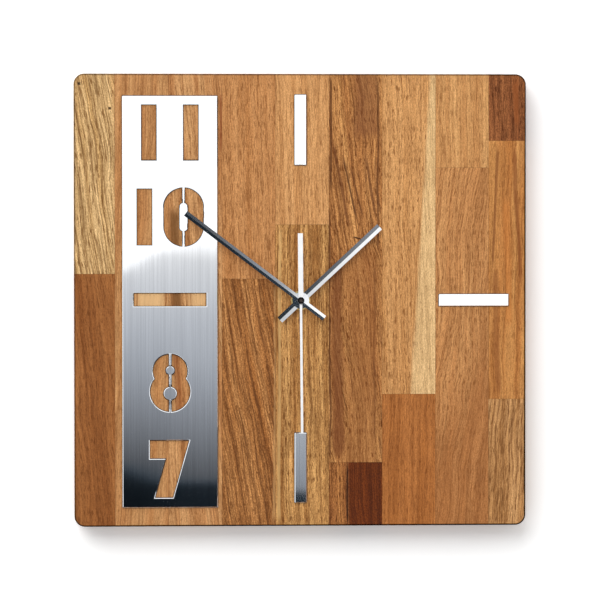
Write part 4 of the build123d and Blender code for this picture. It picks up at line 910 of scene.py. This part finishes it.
def dim_wall(look, x, z):
    """What the plate's lower half mirrors: a grey wall that darkens down to a black floor."""
    drop = 0.345                # from the hands' axis to where the wall turns black
    height = look.times(look.most(look.add(z, drop), 0.0), 1 / drop)
    grey = look.times(look.math("POWER", height, 1.15), 0.78)
    paler = look.add(look.step(x, -0.14, -0.05, 0.0, 0.045), look.step(x, 0.02, 0.10, 0.0, 0.23))
    grey = look.add(grey, look.times(paler, look.step(z, -0.15, -0.08, 1.0, 0.0)))

    edge = look.step(x, -0.17, -0.10, -0.294, -0.316)
    edge = look.add(edge, look.step(x, 0.02, 0.10, 0.0, -0.014))
    floor_share = 0.06          # of the wall's level that the floor keeps
    over = above_line(look, z, edge, look.step(x, -0.15, -0.09, 0.013, 0.006), floor_share)
    floor = look.step(over, floor_share, 1.0, 1.0, 0.0)
    glow = look.times(floor, look.step(x, -0.14, -0.09, 0.0062, 0.0092))
    return look.add(look.times(grey, over), glow)


def bright_window(look, x, z):
    """Mask of the window over the grey wall, which reaches down at the right."""
    edge = look.step(x, -0.175, -0.085, -0.019, 0.016)
    edge = look.add(edge, look.step(x, 0.12, 0.29, 0.0, -1.1))
    return above_line(look, z, edge, look.step(x, -0.12, -0.04, 0.003, 0.020))


def facet_corners(look, level, x, z):
    """The card's four corners, one of which each facet of the hands mirrors."""
    rising, falling = look.add(x, z), look.less(x, z)
    left, right = look.step(x, -0.40, -0.30, 1.0, 0.0), look.step(x, 0.40, 0.48)
    high, low = look.step(z, 0.46, 0.56), look.step(z, -0.56, -0.46, 1.0, 0.0)
    sheen = look.add(
        look.step(falling, -0.36, 0.03, 0.05, 0.48), look.step(falling, -0.045, -0.005, 0.0, 0.9)
    )
    for side, end, value in (
        (right, low, look.step(rising, -0.1, 0.25, 0.70, 1.25)),
        (left, high, look.step(rising, 0.0, 0.40, 0.012, 0.32)),
        (left, low, look.step(falling, -0.02, 0.5, 0.022, 0.05)),
        (right, high, sheen),
    ):
        level = paint_over(look, level, look.times(side, end), value)
    return level


def reflection_card():
    """Painted card behind the camera that only glossy surfaces see: what the steel mirrors."""
    look = Look("card_light")
    x, y, z = look.parts(look.object_place())
    z = look.add(z, -hub.z)
    level = paint_over(look, dim_wall(look, x, z), bright_window(look, x, z), WINDOW_LEVEL)
    level = facet_corners(look, level, x, z)
    tint = look.mix(look.step(level, 0.01, 0.12), (0.62, 0.98, 1.35), (0.93, 0.985, 1.08))
    tint = look.mix(look.step(level, 0.3, 0.95), tint, (1.0, 1.0, 1.0))
    glow = look.node("ShaderNodeEmission", {"Color": tint, "Strength": level}).outputs[0]
    reach, y = (-CARD_REACH, CARD_REACH), face_y - CARD_DISTANCE
    glossy_card("reflection_card", reach, (y, y), reach, look.surface(glow))


def glossy_card(name, x, y, z, material):
    """Flat card that only glossy surfaces see. Each axis has its low and its high value."""
    if x[0] == x[1]:
        corners = [(x[0], y[0], z[0]), (x[0], y[1], z[0]), (x[0], y[1], z[1]), (x[0], y[0], z[1])]
    else:
        corners = [(x[0], y[0], z[0]), (x[1], y[0], z[0]), (x[1], y[1], z[1]), (x[0], y[1], z[1])]
    card = sheet_mesh(name, [(a, b, c + hub.z) for a, b, c in corners], material)
    card.visible_camera = False
    card.visible_diffuse = False
    card.visible_shadow = False
    card.visible_transmission = False


def side_cards():
    """White cards beside, above and below the dial, which the plate's bevels mirror."""
    look = Look("side_card_light")
    level = look.step(look.noise(look.object_place(), 0.8), 0.3, 0.7, *SIDE_LEVELS)
    glow = look.node("ShaderNodeEmission", {"Strength": level}).outputs[0]
    material = look.surface(glow)
    reach = (-SIDE_REACH, SIDE_REACH)
    for name, place in (("card_left", -SIDE_DISTANCE), ("card_right", SIDE_DISTANCE)):
        glossy_card(name, (place, place), SIDE_DEPTH, reach, material)
    for name, place in (("card_below", -SIDE_DISTANCE), ("card_above", SIDE_DISTANCE)):
        glossy_card(name, reach, SIDE_DEPTH, (place, place), material)


def world():
    made = bpy.data.worlds.new("studio")
    made.use_nodes = True
    background = made.node_tree.nodes["Background"]
    background.inputs["Color"].default_value = (1.0, 1.0, 1.0, 1.0)
    background.inputs["Strength"].default_value = WORLD_LEVEL
    bpy.context.scene.world = made


def studio():
    camera()
    world()
    wall_and_floor()
    reflection_card()
    side_cards()
    for name, values in LIGHTS.items():
        area_light(name, *values)
    bpy.context.scene.view_settings.view_transform = "Standard"
    bpy.context.scene.view_settings.look = "None"


studio()
